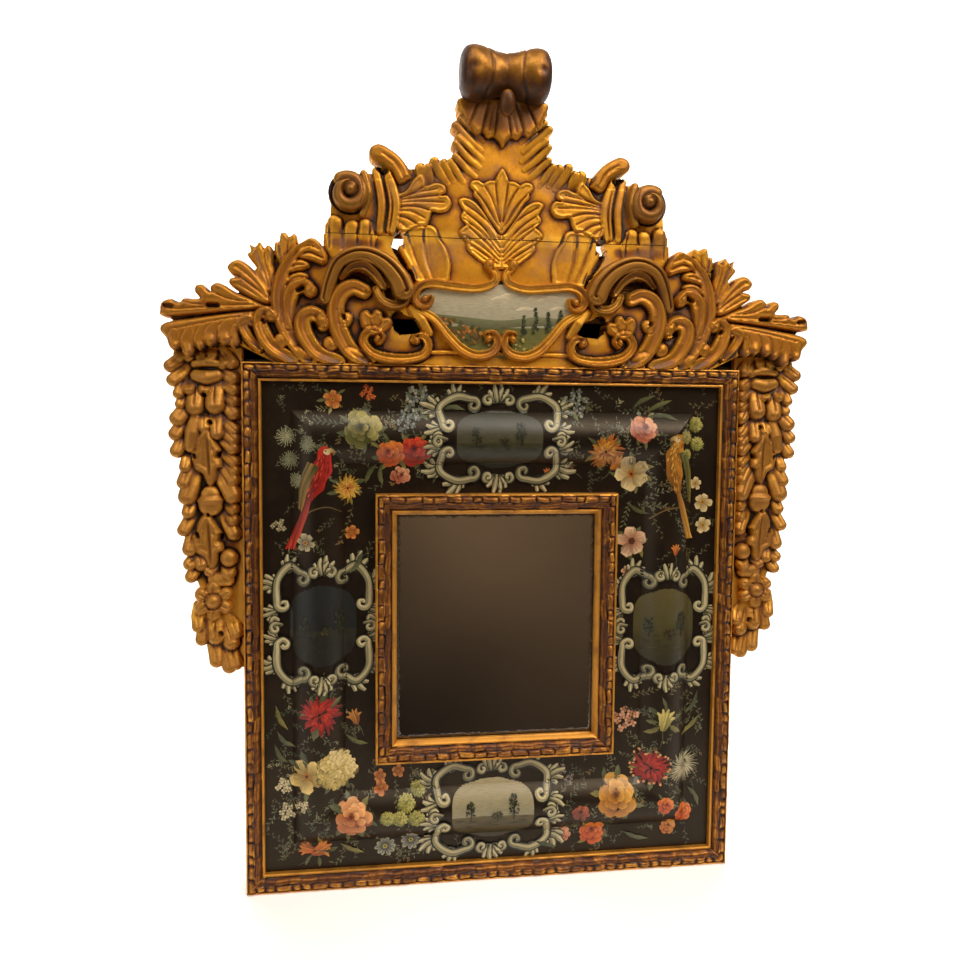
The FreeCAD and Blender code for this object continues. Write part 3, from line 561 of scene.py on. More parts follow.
# the crest: two planks, drawn once for half the width. A stroke gives its kind, its half widths and its
# heights at start, middle and end, and its line. A lobe gives shoulder and rim, rise and dish, and its edge.
fanLeaves = [
    # leaves of the fan at the outer end, from the top one down
    ("lobe", (7, 4), (8, 1), [
        (312, 930), (330, 952), (331, 971), (325, 973), (322, 985), (314, 985), (311, 980), (303, 985),
        (299, 977), (302, 950)]),
    ("lobe", (8, 4), (10, 1), [
        (326, 900), (333, 935), (333, 960), (341, 968), (346, 963), (352, 972), (359, 965), (367, 968),
        (365, 959), (370, 953), (358, 937), (360, 929), (346, 900)]),
    ("lobe", (8, 5), (12, 1), [
        (332, 884), (346, 912), (362, 933), (378, 945), (390, 944), (398, 935), (393, 926), (382, 922),
        (394, 919), (395, 911), (383, 902), (368, 892), (346, 882)]),
    ("lobe", (8, 5), (13, 1), [
        (332, 876), (385, 899), (400, 908), (412, 912), (421, 906), (421, 899), (431, 908), (441, 906),
        (442, 897), (436, 889), (446, 888), (458, 888), (464, 883), (476, 887), (488, 882), (491, 872),
        (487, 863), (440, 866), (380, 872)]),
    ("lobe", (9, 5), (12, 0), [
        (340, 874), (400, 869), (450, 861), (485, 854), (492, 844), (484, 833), (480, 821), (472, 815),
        (464, 820), (460, 810), (452, 806), (446, 811), (443, 820), (436, 815), (430, 823), (421, 820),
        (413, 828), (402, 821), (393, 828), (388, 819), (380, 826), (380, 846), (352, 862)]),
    ("cut", (2.0, 1.8, 1.4), (1, 4, 3), [(340, 878), (400, 868), (450, 861), (488, 858)]),
    ("cut", (2.0, 1.6, 1.2), (1, 2.5, 2), [(345, 882), (400, 880), (440, 880), (462, 884)]),
    ("cut", (2.0, 1.6, 1.2), (1, 2.5, 2), [(350, 884), (395, 889), (421, 899)]),
    ("cut", (1.6, 1.6, 1.2), (1, 2, 1.5), [(360, 880), (410, 877), (470, 872)]),
    ("cut", (2.0, 1.6, 1.2), (1, 3, 2.5), [(340, 890), (362, 908), (382, 922)]),
    ("cut", (1.6, 1.6, 1.2), (1, 2, 1.5), [(344, 898), (366, 921), (386, 936)]),
    ("cut", (1.6, 1.6, 1.2), (1, 2, 1.5), [(350, 890), (372, 904), (388, 912)]),
    ("cut", (2.0, 1.6, 1.2), (1, 2.5, 2), [(336, 910), (344, 940), (347, 962)]),
    ("cut", (1.6, 1.6, 1.2), (1, 2.5, 2), [(340, 908), (350, 940), (359, 964)]),
    ("cut", (1.6, 1.6, 1.2), (1, 2, 1.5), [(332, 915), (338, 940), (340, 958)]),
    ("cut", (1.6, 1.6, 1.2), (1, 2, 2), [(314, 945), (313, 965), (311, 979)]),
    ("cut", (1.6, 1.6, 1.2), (1, 2, 1.5), [(320, 942), (323, 960), (324, 972)]),
    ("cut", (1.6, 1.4, 1.2), (1, 1.5, 1.5), [(360, 866), (410, 858), (470, 846)]),
    ("hole", (5, 5, 5), (9, 9, 9), [(412, 879), (424, 879)]),
    ("hole", (4, 4, 4), (8, 8, 8), [(474, 876), (484, 877)]),
    # drops under the fan
    ("tip", (4, 7, 8), (6, 10, 14), [(472, 842), (475, 830), (472, 823)]),
    ("tip", (4, 8, 8), (6, 11, 15), [(450, 848), (454, 830), (452, 814)]),
    ("tip", (4, 6, 7), (6, 10, 13), [(432, 848), (437, 832), (436, 823)]),
    ("tip", (4, 8, 9), (6, 11, 15), [(412, 852), (421, 840), (421, 830)]),
    ("tip", (4, 9, 10), (6, 11, 15), [(394, 858), (401, 844), (401, 832)]),
    ("tip", (4, 6, 7), (6, 9, 12), [(386, 848), (389, 834), (389, 826)]),
    # painted shade along the foot of the drops
    ("soot", (14, 16, 10), (0.1, 0.14, 0.1), [(388, 822), (430, 820), (476, 822)]),
]
crestStems = [
    # leaves inside the long stem
    ("lobe", (6, 4), (11, 1), [
        (304, 950), (296, 968), (282, 979), (270, 976), (259, 962), (256, 948), (262, 941), (278, 946)]),
    ("lobe", (6, 4), (11, 1), [
        (320, 925), (310, 942), (296, 948), (284, 944), (282, 937), (290, 933), (302, 930)]),
    ("lobe", (5, 4), (10, 1), [(322, 908), (312, 924), (296, 930), (284, 926), (286, 920), (302, 916)]),
    ("cut", (2.0, 1.8, 1.4), (1, 4, 3), [(304, 946), (284, 958), (262, 950)]),
    ("cut", (2.0, 1.8, 1.4), (1, 3, 2), [(300, 958), (284, 968), (266, 962)]),
    ("cut", (1.8, 1.6, 1.2), (1, 2.5, 2), [(316, 930), (302, 940), (288, 940)]),
    # stems, each with a curled head
    ("stem", (12, 12, 7), (9, 16, 11), [
        (282, 803), (309, 835), (324, 872), (326, 903), (318, 934), (302, 957), (282, 972)]),
    ("stem", (7, 12, 10), (9, 15, 16), [(312, 852), (312, 886), (305, 905), (290, 911), (280, 903)]),
    ("plain", (9, 9, 9), (15, 16, 15), [(282, 906), (280, 903)]),
    ("stem", (10, 12, 10), (9, 15, 15), [
        (306, 803), (336, 822), (350, 846), (352, 864), (343, 871), (336, 866)]),
    ("plain", (8, 8, 8), (14, 15, 14), [(338, 868), (337, 865)]),
    ("stem", (6, 8, 8), (8, 12, 12), [(352, 818), (368, 834), (376, 850), (371, 860), (364, 857)]),
    ("plain", (10, 10, 10), (12, 13, 12), [(322, 832), (321, 830)]),
    ("stem", (11, 13, 11), (9, 16, 15), [
        (240, 803), (272, 816), (290, 842), (292, 862), (282, 871), (269, 868), (263, 857)]),
    ("plain", (8, 8, 8), (15, 16, 15), [(266, 865), (263, 859)]),
    ("plain", (11, 11, 11), (12, 13, 12), [(253, 830), (252, 829)]),
    ("stem", (12, 14, 11), (9, 18, 16), [
        (196, 804), (224, 820), (241, 850), (245, 880), (236, 901), (219, 910), (203, 905)]),
    ("plain", (9, 9, 9), (10, 12, 10), [(231, 862), (229, 866)]),
    ("tip", (4, 8, 8), (8, 10, 10), [(206, 812), (216, 814), (224, 817)]),
    ("tip", (4, 8, 8), (8, 10, 10), [(282, 808), (292, 812), (297, 816)]),
    ("lobe", (6, 4), (12, 1), [
        (196, 842), (208, 856), (209, 872), (200, 878), (193, 872), (187, 879), (178, 876), (176, 868),
        (166, 868), (162, 860), (168, 852), (182, 842)]),
    ("cut", (1.8, 1.6, 1.2), (1, 2.5, 2), [(190, 848), (194, 860), (194, 870)]),
    ("cut", (1.8, 1.6, 1.2), (1, 2.5, 2), [(186, 848), (180, 858), (176, 866)]),
    ("stem", (6, 9, 6), (10, 16, 13), [
        (128, 834), (123, 841), (113, 839), (108, 827), (116, 813), (140, 807), (168, 808), (192, 816),
        (205, 832), (200, 846), (187, 848), (178, 840), (182, 833)]),
    ("plain", (5, 5, 5), (14, 14, 14), [(126, 835), (125, 833)]),
    ("plain", (5, 5, 5), (14, 14, 14), [(184, 838), (185, 836)]),
    ("hole", (4, 4, 4), (9, 9, 9), [(233, 866), (234, 869)]),
    ("hole", (5, 5, 5), (9, 9, 9), [(298, 904), (292, 907)]),
    ("hole", (4, 4, 4), (8, 8, 8), [(348, 859), (346, 856)]),
    ("hole", (5, 5, 5), (9, 9, 9), [(276, 856), (273, 853)]),
    ("plain", (3, 3, 3), (4, 4, 4), [(-4, 819), (60, 819), (108, 817)]),
    ("finger", (6, 10, 6), (6, 10, 7), [(134, 884), (122, 868), (106, 846)]),
]
palmette = [
    # two tiers of lobed leaf, veined from the foot, and the pointed tip
    ("lobe", (4, 3), (5, 1.4), [
        (-2, 944), (14, 946), (28, 953), (45, 966), (52, 974), (51, 981), (58, 989), (63, 996), (58, 1003),
        (53, 1008), (60, 1016), (60, 1022), (57, 1027), (62, 1036), (64, 1042), (56, 1046), (44, 1043),
        (32, 1033), (18, 1014), (6, 996), (-2, 990)]),
    ("lobe", (4, 3), (6, 1.4), [
        (-3, 992), (8, 1004), (22, 1022), (34, 1042), (42, 1050), (42, 1057), (48, 1064), (45, 1071),
        (36, 1073), (28, 1069), (20, 1073), (11, 1074), (7, 1082), (0, 1092), (-7, 1082), (-4, 1020)]),
    ("cut", (1.8, 1.6, 1.2), (2, 3, 2), [(2, 1002), (22, 1036), (41, 1058)]),
    ("cut", (1.8, 1.6, 1.2), (2, 2.4, 2), [(2, 1014), (14, 1046), (28, 1068)]),
    ("cut", (1.8, 1.8, 1.4), (1, 2.4, 2.4), [(0, 1000), (6, 1040), (10, 1074)]),
    ("cut", (1.6, 1.6, 1.2), (2, 2.4, 2), [(3, 988), (26, 1018), (56, 1038)]),
    ("cut", (1.8, 1.6, 1.2), (2, 3, 2), [(3, 976), (28, 1006), (56, 1027)]),
    ("cut", (1.6, 1.6, 1.2), (2, 2.4, 2), [(3, 968), (28, 996), (56, 1015)]),
    ("cut", (1.8, 1.6, 1.2), (2, 3, 2), [(3, 962), (26, 986), (52, 1007)]),
    ("cut", (1.6, 1.6, 1.2), (2, 2.4, 2), [(4, 956), (28, 976), (56, 992)]),
    ("cut", (1.8, 1.6, 1.2), (2, 3, 2), [(6, 952), (26, 966), (50, 981)]),
    ("cut", (1.6, 1.6, 1.2), (1, 2, 1.6), [(8, 949), (26, 957), (44, 970)]),
    ("cut", (2.2, 2.2, 2.0), (2, 2.6, 2.4), [(0, 946), (0.4, 970), (0, 1000)]),
]
sideLeaf = [
    ("lobe", (4, 3), (7, 1.4), [
        (156, 1046), (142, 1052), (133, 1066), (122, 1076), (114, 1068), (112, 1060), (98, 1065),
        (86, 1062), (83, 1053), (89, 1047), (81, 1047), (75, 1037), (80, 1026), (92, 1022), (103, 1023),
        (107, 1012), (112, 1003), (122, 1002), (132, 997), (143, 993), (154, 997), (157, 1012)]),
    ("cut", (2.0, 1.8, 1.4), (2, 3, 2.4), [(154, 1042), (130, 1050), (113, 1060)]),
    ("cut", (2.0, 1.8, 1.4), (2, 3, 2.4), [(154, 1038), (116, 1044), (88, 1048)]),
    ("cut", (1.6, 1.6, 1.2), (1, 2, 1.6), [(154, 1040), (124, 1050), (96, 1056)]),
    ("cut", (1.6, 1.6, 1.2), (1, 2, 1.6), [(154, 1034), (118, 1037), (86, 1037)]),
    ("cut", (2.0, 1.8, 1.4), (2, 3, 2.4), [(154, 1028), (128, 1030), (104, 1024)]),
    ("cut", (1.6, 1.6, 1.2), (1, 2, 1.6), [(154, 1023), (134, 1022), (114, 1013)]),
    ("cut", (2.0, 1.8, 1.4), (2, 3, 2.4), [(154, 1016), (138, 1012), (124, 1003)]),
    ("cut", (1.6, 1.6, 1.2), (1, 2, 1.6), [(154, 1008), (146, 1004), (138, 998)]),
]
tallLeaf = [
    ("lobe", (5, 4), (5, 1.2), [
        (154, 990), (140, 999), (124, 1003), (106, 1004), (96, 997), (90, 984), (82, 970), (77, 952),
        (78, 936), (84, 922), (126, 920), (136, 936), (142, 950), (150, 964), (154, 978)]),
    ("cut", (2.4, 3.4, 2.4), (1, 2.2, 1.6), [(102, 926), (112, 958), (114, 1001)]),
    ("cut", (2.2, 2.8, 2.0), (1, 2.0, 1.4), [(115, 928), (128, 956), (138, 992)]),
]
crestTop = [
    # reeds beside the roll and the rough block under it
    ("finger", (6, 7, 6), (6, 8, 6), [(161, 994), (156, 1028), (161, 1056), (172, 1084)]),
    ("finger", (3, 3, 3), (5, 7, 5), [(169, 994), (165, 1032), (172, 1070)]),
    ("finger", (6, 7, 6), (4, 6, 5), [(181, 994), (178, 1035), (186, 1080)]),
    ("plain", (12, 14, 11), (3, 4, 6), [(200, 962), (200, 985), (202, 1000)]),
    ("plain", (12, 14, 11), (3, 4, 5), [(222, 962), (222, 985), (221, 998)]),
    ("plain", (12, 14, 11), (3, 4, 7), [(244, 962), (246, 985), (246, 1004)]),
    ("cut", (1.6, 1.8, 1.4), (1, 3, 2), [(192, 964), (194, 985), (195, 1006)]),
    ("cut", (1.6, 1.8, 1.4), (1, 3, 2), [(213, 970), (212, 985), (211, 1006)]),
    ("cut", (1.6, 1.8, 1.4), (1, 3, 2), [(234, 966), (233, 985), (235, 1008)]),
    ("cut", (1.6, 1.8, 1.4), (1, 2, 2), [(252, 966), (252, 985), (253, 1006)]),
    # painted shade on the rough block under the roll and down the reeds beside it
    ("soot", (20, 22, 20), (0.45, 0.5, 0.5), [(190, 984), (220, 984), (254, 986)]),
    ("soot", (18, 20, 16), (0.28, 0.3, 0.26), [(184, 996), (178, 1035), (184, 1078)]),
    # horn and the feathered top edge
    ("lobe", (8, 5), (12, 0), [
        (134, 1070), (140, 1086), (152, 1101), (166, 1111), (181, 1117), (193, 1112), (196, 1102),
        (191, 1094), (178, 1089), (164, 1080), (152, 1062)]),
    ("cut", (2.2, 2.0, 1.6), (1, 3, 1), [(144, 1064), (158, 1090), (176, 1102)]),
    ("tip", (5, 9, 9), (0.5, 4, 7), [(114, 1060), (118, 1076), (121, 1086)]),
    ("tip", (4, 7, 7), (0.5, 4, 7), [(104, 1064), (109, 1080), (110, 1088)]),
    ("tip", (5, 8, 8), (0.5, 4, 8), [(82, 1066), (95, 1086), (101, 1097)]),
    ("tip", (4, 6, 7), (0.5, 4, 7), [(72, 1070), (82, 1088), (87, 1096)]),
    ("tip", (4, 6, 6), (0.5, 4, 7), [(58, 1070), (70, 1088), (77, 1098)]),
    ("tip", (4, 6, 6), (0.5, 4, 8), [(40, 1078), (58, 1094), (70, 1106)]),
    ("tip", (4, 6, 6), (0.5, 4, 8), [(34, 1092), (54, 1108), (70, 1125)]),
    ("tip", (4, 5, 6), (0.5, 4, 7), [(30, 1104), (48, 1120), (66, 1134)]),
    ("tip", (4, 6, 7), (0.5, 4, 8), [(32, 1118), (52, 1134), (70, 1151)]),
    ("tip", (4, 5, 6), (0.5, 4, 7), [(28, 1132), (46, 1148), (63, 1160)]),
    ("tip", (4, 6, 7), (0.5, 4, 8), [(34, 1148), (50, 1162), (61, 1174)]),
    # ragged collar that hangs under the finial
    ("lobe", (6, 4), (10, 0), [
        (-30, 1190), (-4, 1128), (0, 1122), (4, 1128), (12, 1136), (22, 1134), (30, 1141), (40, 1138),
        (50, 1150), (60, 1164), (62, 1190)]),
    ("cut", (2.0, 1.8, 1.4), (2, 4, 3), [(6, 1186), (9, 1160), (12, 1138)]),
    ("cut", (2.4, 2.2, 1.6), (2, 5, 3), [(20, 1186), (26, 1162), (31, 1142)]),
    ("cut", (2.0, 1.8, 1.4), (2, 4, 3), [(36, 1186), (43, 1168), (50, 1152)]),
    ("cut", (1.6, 1.6, 1.2), (1, 2, 1), [(13, 1180), (17, 1158), (20, 1142)]),
    # painted shade on the collar under the finial's roll, and a small patch at the feathered edge
    ("soot", (30, 34, 24), (0.62, 0.62, 0.5), [(-4, 1172), (20, 1170), (52, 1180)]),
    ("soot", (6, 9, 6), (0.2, 0.2, 0.1), [(60, 1088), (66, 1098), (70, 1104)]),
    ("hole", (7, 7, 7), (11, 11, 11), [(174, 1080), (180, 1084)]),
]
crestCuts = [
    [(163, 975), (154, 972), (147, 976), (145, 988), (150, 995), (158, 991)],
    [(139, 938), (135, 928), (131, 919), (128, 924), (131, 934), (136, 942)],
    [(174, 908), (166, 912), (157, 902), (158, 894), (170, 892)],
    [(163, 872), (154, 881), (142, 872), (128, 868), (118, 852), (122, 845), (150, 843), (160, 852)],
]
lowerPlank = {
    "ground": 51, "back": 26, "between": (800, 987.2), "cuts": crestCuts,
    "plates": [[(-20, 800), (333, 800), (352, 808), (382, 823), (400, 836), (470, 846), (480, 866),
                (440, 882), (400, 890), (366, 910), (340, 940), (320, 962), (285, 968), (262, 960),
                (262, 992), (-20, 992)]],
    "hollows": [(31, [(246, 905), (242, 926), (226, 942), (205, 944), (186, 930), (178, 908)]),
                (32, [(164, 978), (162, 968), (152, 952), (139, 934), (131, 940), (139, 962), (144, 980)])],
    "strokes": fanLeaves + crestStems + palmette + tallLeaf + crestTop[3:11],
}
upperPlank = {
    "ground": 51, "back": 26, "fine": 0.8, "between": (988.4, 1200), "cuts": crestCuts,
    "plates": [[(-20, 985), (260, 985), (260, 1000), (253, 1010), (250, 1062), (238, 1074), (190, 1076),
                (184, 1088), (150, 1084), (120, 1086), (100, 1092), (80, 1094), (60, 1096), (54, 1120),
                (54, 1150), (52, 1192), (-20, 1192)]],
    "strokes": palmette + tallLeaf + sideLeaf + crestTop,
}
carvePiece("crest_lower_carving", lowerPlank, (-500, 500, 798, 990), crestGold, ["crest_lower_board"])
carvePiece("crest_upper_carving", upperPlank, (-266, 266, 986, 1202), crestGold, ["crest_upper_board"])

# scrolls that stand on the planks
archScroll = {
    "ground": 52, "back": 40, "fine": 0.7, "tone": -0.06,
    "strokes": [
        ("ribbon", (9, 12, 17), (18, 26, 24), [
            (259, 892), (252, 917), (240, 942), (219, 955), (196, 956), (172, 945), (154, 926),
            (146, 909)]),
        ("stem", (4, 9, 7), (12, 20, 14), [(236, 922), (222, 937), (204, 941), (188, 931), (176, 914)]),
        ("stem", (6, 8, 7), (10, 15, 13), [(186, 908), (178, 894), (162, 886), (147, 890), (141, 899)]),
    ],
}
rollScroll = {
    "ground": 53, "back": 40, "fine": 0.7, "tone": 0.32,
    "plates": [curl((225, 1047), (31, 31), (0, 345), 24)],
    "strokes": [
        ("plain", (11, 11, 8), (13, 20, 21), curl((226, 1046), (22, 11), (60, 490), 30)),
        ("plain", (10, 10, 10), (24, 24, 24), [(223, 1049), (224, 1049)]),
        ("finger", (6, 7, 6), (8, 12, 9), [(206, 1018), (198, 1046), (204, 1074)]),
    ],
}
upperScroll = {
    "ground": 51, "back": 44, "fine": 0.7, "tone": -0.06,
    "strokes": [
        ("stem", (6, 8, 7), (10, 14, 13), [
            (14, 955), (19, 950), (14, 943), (8, 936), (12, 923), (38, 915), (76, 918), (106, 921),
            (124, 914), (129, 899), (121, 888), (110, 890), (107, 898)]),
        ("plain", (8, 8, 8), (14, 14, 14), [(18, 951), (18, 949)]),
        ("plain", (6, 6, 6), (14, 14, 14), [(114, 898), (115, 897)]),
    ],
}
lowerScroll = {
    "ground": 51, "back": 44, "fine": 0.7, "tone": -0.06,
    "strokes": [
        ("stem", (7, 9, 7), (9, 14, 13), [
            (121, 880), (98, 866), (78, 842), (58, 823), (36, 815), (14, 820), (5, 834), (10, 847),
            (20, 847)]),
        ("plain", (6, 6, 6), (14, 14, 14), [(18, 841), (19, 840)]),
    ],
}
carvePair("arch_scroll_", archScroll, (126, 274, 874, 976), scrollGold, "c_scroll_")
carvePair("roll_scroll_", rollScroll, (186, 264, 1008, 1086), scrollGold, "volute_")
carvePair("picture_scroll_upper_", upperScroll, (0, 142, 876, 966), crestGold, "cartouche_upper_scroll_")
carvePair("picture_scroll_lower_", lowerScroll, (-4, 134, 800, 894), crestGold, "cartouche_lower_scroll_")

# finial: a leaf rolled over forwards, turned about the axis of the roll and then carved
finial = {
    "axis": (71, 1219),
    "turned": [(0, 28.5), (8, 30.2), (16, 32.2), (24, 34.4), (32, 36.6), (40, 38.2), (46, 38.8),
               (53, 38), (59, 35), (63, 30), (66, 22), (66.8, 12), (66, 5), (65.5, 0.4)],
    "crease": 21, "eye": (50, -3), "cell": 1.2,
    "tongue": (1, 88, 1174), "tongueScale": (1.15, 1.0, 1.9), "tongueTilt": 14,
    "stalk": (0, -44, 1205), "stalkSize": (92, 30, 56), "stalkRound": 11,
    "soften": 5, "passes": 80,
}
axisDepth, axisHeight = finial["axis"]
half = finial["turned"]
profile = [(-x, r) for x, r in half[:0:-1]] + half
chain = [(x * mm, -axisDepth * mm, (axisHeight + r) * mm) for x, r in profile]
mesh = bpy.data.meshes.new("finial_carving")
mesh.from_pydata(chain, [(i, i + 1) for i in range(len(chain) - 1)], [])
roll = bpy.data.objects.new("finial_carving", mesh)
bpy.context.collection.objects.link(roll)
bpy.ops.object.select_all(action="DESELECT")
roll.select_set(True)
bpy.context.view_layer.objects.active = roll
bpy.ops.object.mode_set(mode="EDIT")
bpy.ops.mesh.select_all(action="SELECT")
bpy.ops.mesh.spin(steps=72, angle=2 * math.pi, center=(0, -axisDepth * mm, axisHeight * mm), axis=(1, 0, 0))
bpy.ops.mesh.select_all(action="SELECT")
bpy.ops.mesh.remove_doubles(threshold=0.0002)
bpy.ops.mesh.fill_holes(sides=0)
bpy.ops.mesh.normals_make_consistent(inside=False)
bpy.ops.object.mode_set(mode="OBJECT")
x, depth, z = finial["tongue"]
bpy.ops.object.select_all(action="DESELECT")
bpy.ops.mesh.primitive_uv_sphere_add(
    segments=32, ring_count=20, radius=10 * mm, location=(x * mm, -depth * mm, z * mm))
tongue = bpy.context.object
tongue.scale = finial["tongueScale"]
tongue.rotation_euler = (math.radians(finial["tongueTilt"]), 0, 0)
bpy.ops.mesh.primitive_cube_add(size=mm, location=[v * mm for v in finial["stalk"]])
stalk = bpy.context.object
stalk.scale = finial["stalkSize"]
bevel = stalk.modifiers.new("rounded", "BEVEL")
bevel.width = finial["stalkRound"] * mm
bevel.segments = 5
bpy.ops.object.modifier_apply(modifier="rounded")
tongue.select_set(True)
roll.select_set(True)
bpy.context.view_layer.objects.active = roll
bpy.ops.object.join()
fuse = roll.modifiers.new("fuse", "REMESH")
fuse.mode = "VOXEL"
fuse.voxel_size = finial["cell"] * mm
bpy.ops.object.modifier_apply(modifier="fuse")
soften = roll.modifiers.new("soften", "SMOOTH")
soften.factor = 0.5
soften.iterations = finial["soften"]
bpy.ops.object.modifier_apply(modifier="soften")
spots = readPoints(roll) / mm
away = spots[:, 1:] - (-axisDepth, axisHeight)
reach = np.hypot(away[:, 0], away[:, 1])
far = np.abs(spots[:, 0])
front = np.clip(-away[:, 0] / 12, 0, 1)  # 1 on the side turned to the viewer
onRoll = np.clip((reach - 20) / 6, 0, 1) * np.clip((70 - far) / 6, 0, 1)  # 0 on the ends and inside
eye, eyeLift = finial["eye"]
eyeGap = np.hypot(far - eye, away[:, 1] - eyeLift)
crease = far - finial["crease"] - 0.008 * away[:, 1] ** 2
sunk = 1.3 * np.exp(-(crease / 2.2) ** 2) + 2.6 * front * np.exp(-(eyeGap / 7) ** 2)
sunk = sunk + 0.5 * np.sin(far * 0.24 + 2 * np.arctan2(away[:, 1], away[:, 0])) * np.cos(spots[:, 2] / 6)
spots[:, 1:] -= (onRoll * sunk / np.maximum(reach, 1))[:, None] * away
writePoints(roll, spots * mm)
# painted shade on the underside of the roll and on its ends at the front, over a slightly browner tone on the
# whole finial
shadedBelow = np.clip((axisHeight - 4 - spots[:, 2]) / 30, 0, 1) + np.clip((far - 44) / 18, 0, 1) * front
markHollows(roll, finial["passes"], 0.16, 0.1 + 0.42 * np.clip(shadedBelow, 0, 1))
finishPiece(roll, [scrollGold], ["finial"], 50)
print(roll.name, len(roll.data.polygons), "faces")

# wings: overlapping leaf tips with cups, fruit and hanging leaves down the middle; each tip is drawn from
# its root to its end, with half its width
wingTips = [
    (466, 808, 482, 794, 9), (462, 790, 478, 773, 9), (464, 772, 470, 753, 8), (462, 752, 468, 737, 7),
    (456, 736, 472, 716, 11), (462, 714, 476, 694, 9), (462, 692, 475, 670, 9), (460, 664, 464, 647, 8),
    (456, 650, 466, 625, 10), (452, 640, 461, 604, 13), (456, 596, 460, 580, 9), (456, 574, 466, 553, 9),
    (452, 552, 458, 524, 10), (450, 512, 458, 502, 9), (448, 500, 457, 483, 8),
    (404, 812, 396, 798, 8), (416, 806, 408, 796, 7), (412, 786, 394, 776, 8), (410, 770, 394, 760, 8),
    (408, 752, 394, 744, 8), (410, 744, 394, 726, 9), (408, 716, 394, 702, 8), (414, 704, 394, 688, 9),
    (412, 690, 395, 674, 9), (408, 666, 394, 654, 8), (406, 652, 394, 640, 8), (412, 652, 395, 626, 9),
    (416, 642, 396, 604, 12), (404, 592, 396, 584, 8), (402, 578, 396, 568, 8), (406, 568, 396, 548, 9),
    (446, 768, 448, 734, 12), (420, 768, 420, 738, 13), (456, 768, 456, 760, 8), (432, 768, 434, 760, 8),
    (436, 722, 436, 704, 8), (420, 722, 418, 696, 9),
    (446, 520, 442, 502, 9), (404, 500, 404, 490, 10), (424, 500, 430, 492, 8),
    (450, 428, 448, 410, 9), (440, 420, 443, 390, 9), (424, 420, 422, 394, 12), (408, 414, 400, 384, 11),
    (398, 412, 392, 398, 8), (426, 382, 422, 357, 10), (412, 378, 404, 348, 10), (400, 372, 393, 350, 7),
]
wingLeaves = [
    ("tip", (0.5 * half, half + 1, half + 1.5), (0.5, 0.3 * half + 1, 0.6 * half + 8),
     [(1.8 * x - 0.8 * tipX, 1.8 * z - 0.8 * tipZ), (x, z), (tipX, tipZ)])
    for x, z, tipX, tipZ, half in wingTips]
wingVeins = [
    ("cut", (1.3, 1.4, 1.2), (0.5, 1.3, 0.8),
     [(x, z), (0.45 * x + 0.55 * tipX, 0.55 * z + 0.45 * tipZ), (tipX, tipZ)])
    for x, z, tipX, tipZ, half in wingTips]
hangingLeaf = [
    ("lobe", (8, 6), (13, 2), [
        (435, 706), (446, 688), (449, 672), (454, 668), (453, 655), (449, 643), (439, 637), (435, 628),
        (428, 617), (419, 628), (417, 643), (410, 646), (412, 657), (418, 662), (412, 671), (417, 680),
        (424, 692), (430, 704)]),
    ("cut", (2.0, 1.8, 1.4), (2, 3.5, 2), [(432, 702), (430, 664), (428, 624)]),
    ("cut", (1.4, 1.4, 1.2), (1, 2, 1), [(438, 690), (443, 664), (444, 648)]),
    ("cut", (1.4, 1.4, 1.2), (1, 2, 1), [(426, 684), (421, 664), (416, 652)]),
]
leafDrops = (0, 124)  # the hanging leaf comes twice, the second one lower
hangingLeaves = [
    (kind, widths, crowns, [(x, z - drop) for x, z in points])
    for kind, widths, crowns, points in hangingLeaf for drop in leafDrops]
wingCarving = {
    "ground": 34, "back": 8, "fine": 0.85, "between": (330, 842), "reach": 7, "gain": 0.23, "tone": -0.02,
    "plates": [[(381, 838), (381, 345), (400, 345), (425, 356), (440, 385), (446, 420), (442, 445),
                (446, 468), (454, 490), (456, 560), (458, 640), (466, 700), (468, 760), (472, 800),
                (470, 838)]],
    "hollows": [(24, [(376, 821), (492, 821), (492, 845), (376, 845)])],
    "strokes": wingLeaves + hangingLeaves + [
        ("tip", (8, 9, 9), (2, 7, 9), [(x, 818), (x, 812), (x, 808)]) for x in (424, 440, 456, 470)
    ] + wingVeins + [
        ("plain", (9, 11, 9), (11, 15, 11), [(416, 780), (431, 777), (446, 780)]),
        ("plain", (6, 8, 6), (9, 12, 9), [(414, 797), (431, 800), (448, 797)]),
        ("plain", (8, 11, 10), (8, 14, 12), [(448, 718), (452, 698), (455, 677)]),
        ("plain", (15, 20, 18), (12, 17, 14), [(428, 604), (428, 591)]),
        ("plain", (13, 13, 13), (15, 15, 15), [(403, 512), (403, 511)]),
        ("plain", (10, 11, 10), (10, 12, 10), [(424, 480), (405, 478)]),
        ("hole", (4, 4, 4), (9, 9, 9), [(450, 664), (449, 661)]),
        ("hole", (4, 4, 4), (9, 9, 9), [(415, 666), (416, 663)]),
        ("cut", (1.5, 1.5, 1.4), (1, 2, 1.5), [(420, 764), (420, 752), (421, 740)]),
        ("cut", (1.5, 1.5, 1.4), (1, 2, 1.5), [(447, 762), (448, 750), (449, 738)]),
        ("cut", (1.5, 1.5, 1.4), (1, 2, 1.5), [(424, 416), (423, 404), (422, 392)]),
        ("hole", (4, 4, 4), (10, 10, 10), [(428, 712), (427, 711)]),
        ("hole", (4, 4, 4), (9, 9, 9), [(435, 753), (435, 751)]),
        ("hole", (4, 4, 4), (11, 11, 11), [(447, 547), (446, 543)]),
        ("hole", (4, 4, 4), (11, 11, 11), [(414, 546), (414, 542)]),
        ("hole", (3, 3, 3), (5, 5, 5), [(431, 577), (431, 575)]),
        ("hole", (4, 4, 4), (9, 9, 9), [(414, 396), (415, 399)]),
    ],
}
rosetteMiddle = (425, 447)


def ray(degrees, reaches):
    # points out from the rosette's middle
    a = math.radians(degrees)
    return [(rosetteMiddle[0] + r * math.cos(a), rosetteMiddle[1] + r * math.sin(a)) for r in reaches]


